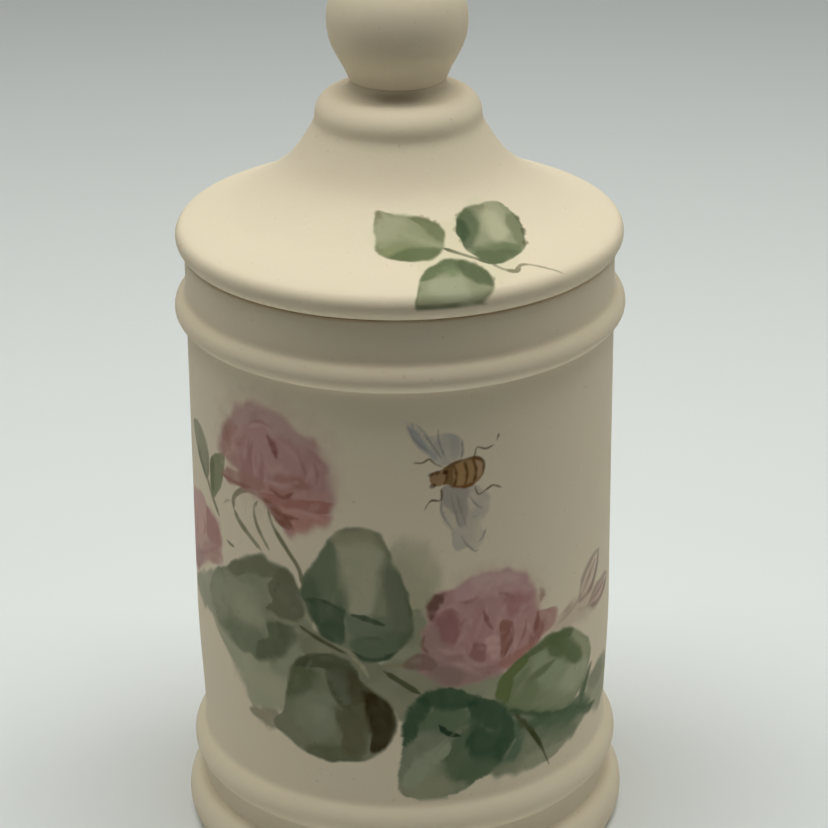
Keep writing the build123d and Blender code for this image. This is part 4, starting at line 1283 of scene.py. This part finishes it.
def bisque(name, painted):
    """Unglazed porcelain: cream clay, faint clouds and specks, a fine sanded grain, and the paint on it."""
    material = bpy.data.materials.new(name)
    material.use_nodes = True
    tree = material.node_tree
    shader = tree.nodes["Principled BSDF"]
    where = node(tree, "ShaderNodeTexCoord").outputs["Object"]
    clouds = node(tree, "ShaderNodeTexNoise", {"Vector": where, "Scale": 55.0, "Detail": 3.0})
    body = node(tree, "ShaderNodeMix", {"Factor": clouds.outputs["Fac"]}, data_type="RGBA")
    body.inputs["A"].default_value = (*CREAM, 1)
    body.inputs["B"].default_value = (*WARM_CREAM, 1)
    specks = node(tree, "ShaderNodeTexNoise", {"Vector": where, "Scale": 900.0, "Detail": 1.0})
    speck = node(tree, "ShaderNodeMapRange", {
        "Value": specks.outputs["Fac"], "From Min": 0.735, "From Max": 0.80, "To Max": 0.25,
    })
    ground = node(tree, "ShaderNodeMix", {"Factor": speck.outputs["Result"]}, data_type="RGBA")
    tree.links.new(body.outputs["Result"], ground.inputs["A"])
    ground.inputs["B"].default_value = (*SPECK_BROWN, 1)
    colour = ground.outputs["Result"]
    if painted:
        paint = node(tree, "ShaderNodeAttribute", attribute_name="tint")
        both = node(tree, "ShaderNodeMix", {"Factor": 1.0}, data_type="RGBA", blend_type="MULTIPLY")
        tree.links.new(colour, both.inputs["A"])
        tree.links.new(paint.outputs["Color"], both.inputs["B"])
        colour = both.outputs["Result"]
    tree.links.new(colour, shader.inputs["Base Color"])
    wear = node(tree, "ShaderNodeTexNoise", {"Vector": where, "Scale": 120.0, "Detail": 4.0})
    rough = node(tree, "ShaderNodeMapRange", {"Value": wear.outputs["Fac"], "To Min": 0.60, "To Max": 0.80})
    tree.links.new(rough.outputs["Result"], shader.inputs["Roughness"])
    grain = node(tree, "ShaderNodeTexNoise", {"Vector": where, "Scale": 2600.0, "Detail": 2.0})
    sanded = node(tree, "ShaderNodeTexNoise", {"Vector": where, "Scale": 260.0, "Detail": 3.0})
    fine = node(tree, "ShaderNodeBump", {
        "Height": grain.outputs["Fac"], "Strength": 0.25, "Distance": 0.00005,
    })
    bump = node(tree, "ShaderNodeBump", {
        "Height": sanded.outputs["Fac"], "Strength": 0.35, "Distance": 0.0002,
        "Normal": fine.outputs["Normal"],
    })
    tree.links.new(bump.outputs["Normal"], shader.inputs["Normal"])
    shader.inputs["Specular IOR Level"].default_value = 0.14
    shader.inputs["Subsurface Weight"].default_value = 0.12
    shader.inputs["Subsurface Radius"].default_value = (1.0, 0.7, 0.45)
    shader.inputs["Subsurface Scale"].default_value = 0.0015
    return material


def paper(name):
    """The seamless background: pale, slightly cool, matt."""
    material = bpy.data.materials.new(name)
    material.use_nodes = True
    tree = material.node_tree
    shader = tree.nodes["Principled BSDF"]
    where = node(tree, "ShaderNodeTexCoord").outputs["Object"]
    fibre = node(tree, "ShaderNodeTexNoise", {"Vector": where, "Scale": 6.0, "Detail": 4.0})
    tone = node(tree, "ShaderNodeMix", {"Factor": fibre.outputs["Fac"]}, data_type="RGBA")
    tone.inputs["A"].default_value = (*PAPER_DARK, 1)
    tone.inputs["B"].default_value = (*PAPER_LIGHT, 1)
    tree.links.new(tone.outputs["Result"], shader.inputs["Base Color"])
    shader.inputs["Roughness"].default_value = 0.9
    shader.inputs["Specular IOR Level"].default_value = 0.2
    return material


# ---------------------------------------------------------------- pieces

def piece(name, surface, painted, body, cad_node, slot):
    """One turned piece in place of a CAD node, which it hides, with a new bisque material named after slot.
    """
    data = surface.mesh(name)
    made = bpy.data.objects.new(name, data)
    bpy.context.collection.objects.link(made)
    data.materials.append(bisque(slot, painted))
    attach(made, body)
    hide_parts(cad_node)


jar = Turned(jar_outline())
paint_jar(jar)
piece("painted_jar", jar, True, "jar", "jar_body", "painted_bisque")

lid = Turned(lid_outline())
paint_lid(lid)
piece("painted_lid", lid, True, "cover", "lid", "painted_bisque_lid")

ball = Turned(ball_outline())
piece("ball_handle", ball, False, "cover", "ball_finial", "plain_bisque")


# ---------------------------------------------------------------- stage, light and camera

def backdrop():
    """A round floor, in metres, that curves up at its edge, far from the jar."""
    flat, curve, rise = 1.5, 0.6, 0.4
    turn = np.linspace(0, pi / 2, 12)
    outline = [(0.0, 0.0), (flat / 2, 0.0)]
    outline += [(flat + curve * sin(t), curve - curve * cos(t)) for t in turn]
    outline.append((flat + curve, curve + rise))
    columns = 96
    corners, faces = [], []
    for radius, height in outline:
        for k in range(columns):
            a = 2 * pi * k / columns
            corners.append((radius * cos(a), radius * sin(a), height))
    for row in range(len(outline) - 1):
        inner, outer = row * columns, (row + 1) * columns
        for k in range(columns):
            n = (k + 1) % columns
            faces.append((inner + k, inner + n, outer + n, outer + k))
    data = bpy.data.meshes.new("backdrop")
    data.from_pydata(corners, [], faces)
    data.shade_smooth()
    made = bpy.data.objects.new("backdrop", data)
    bpy.context.collection.objects.link(made)
    data.materials.append(paper("paper"))


def softbox(name, place, aim, size, watts, spread=pi):
    """A rectangular lamp. A smaller spread keeps its light closer to the way it points."""
    lamp = bpy.data.lights.new(name, "AREA")
    lamp.shape = "RECTANGLE"
    lamp.size, lamp.size_y = size
    lamp.energy = watts
    lamp.color = (0.97, 1.0, 0.97)
    lamp.spread = spread
    made = bpy.data.objects.new(name, lamp)
    bpy.context.collection.objects.link(made)
    made.location = place
    made.rotation_mode = "QUATERNION"
    made.rotation_quaternion = (Vector(aim) - Vector(place)).to_track_quat("-Z", "Y")
    made.visible_camera = False


backdrop()
softbox("overhead", (0, -0.005, 0.8), (0, 0.13, 0), (0.95, 0.42), 3.75, radians(126))
softbox("left_side", (-0.95, 0.3, 0.35), (0, 0, 0.08), (0.5, 0.5), 0.5)
softbox("right_side", (0.95, 0.3, 0.35), (0, 0, 0.08), (0.5, 0.5), 0.7)

world = bpy.data.worlds.new("studio")
bpy.context.scene.world = world
world.use_nodes = True
world.node_tree.nodes["Background"].inputs["Color"].default_value = (1.0, 0.97, 0.93, 1)
world.node_tree.nodes["Background"].inputs["Strength"].default_value = 0.01

# The camera stands in front of the jar and above it, a hair off to one side and tilted a hair.
CAMERA_AWAY = 529.3
CAMERA_ABOVE_BEAD = 205.6
CAMERA_PITCH = 23.33
CAMERA_YAW = -0.2457
CAMERA_ROLL = -0.52
FOCAL_LENGTH = 138.9

eye = Vector((0, -CAMERA_AWAY, UPPER_BEAD_HEIGHT + CAMERA_ABOVE_BEAD)) * MM
lens = bpy.data.cameras.new("camera")
lens.sensor_width = 36
lens.lens = FOCAL_LENGTH
lens.clip_start, lens.clip_end = 0.01, 20
camera = bpy.data.objects.new("camera", lens)
bpy.context.collection.objects.link(camera)
turn = Matrix.Rotation(radians(CAMERA_YAW), 4, "Z") @ Matrix.Rotation(radians(90 - CAMERA_PITCH), 4, "X")
camera.matrix_world = Matrix.Translation(eye) @ turn @ Matrix.Rotation(radians(CAMERA_ROLL), 4, "Z")
bpy.context.scene.camera = camera
bpy.context.scene.view_settings.view_transform = "Standard"
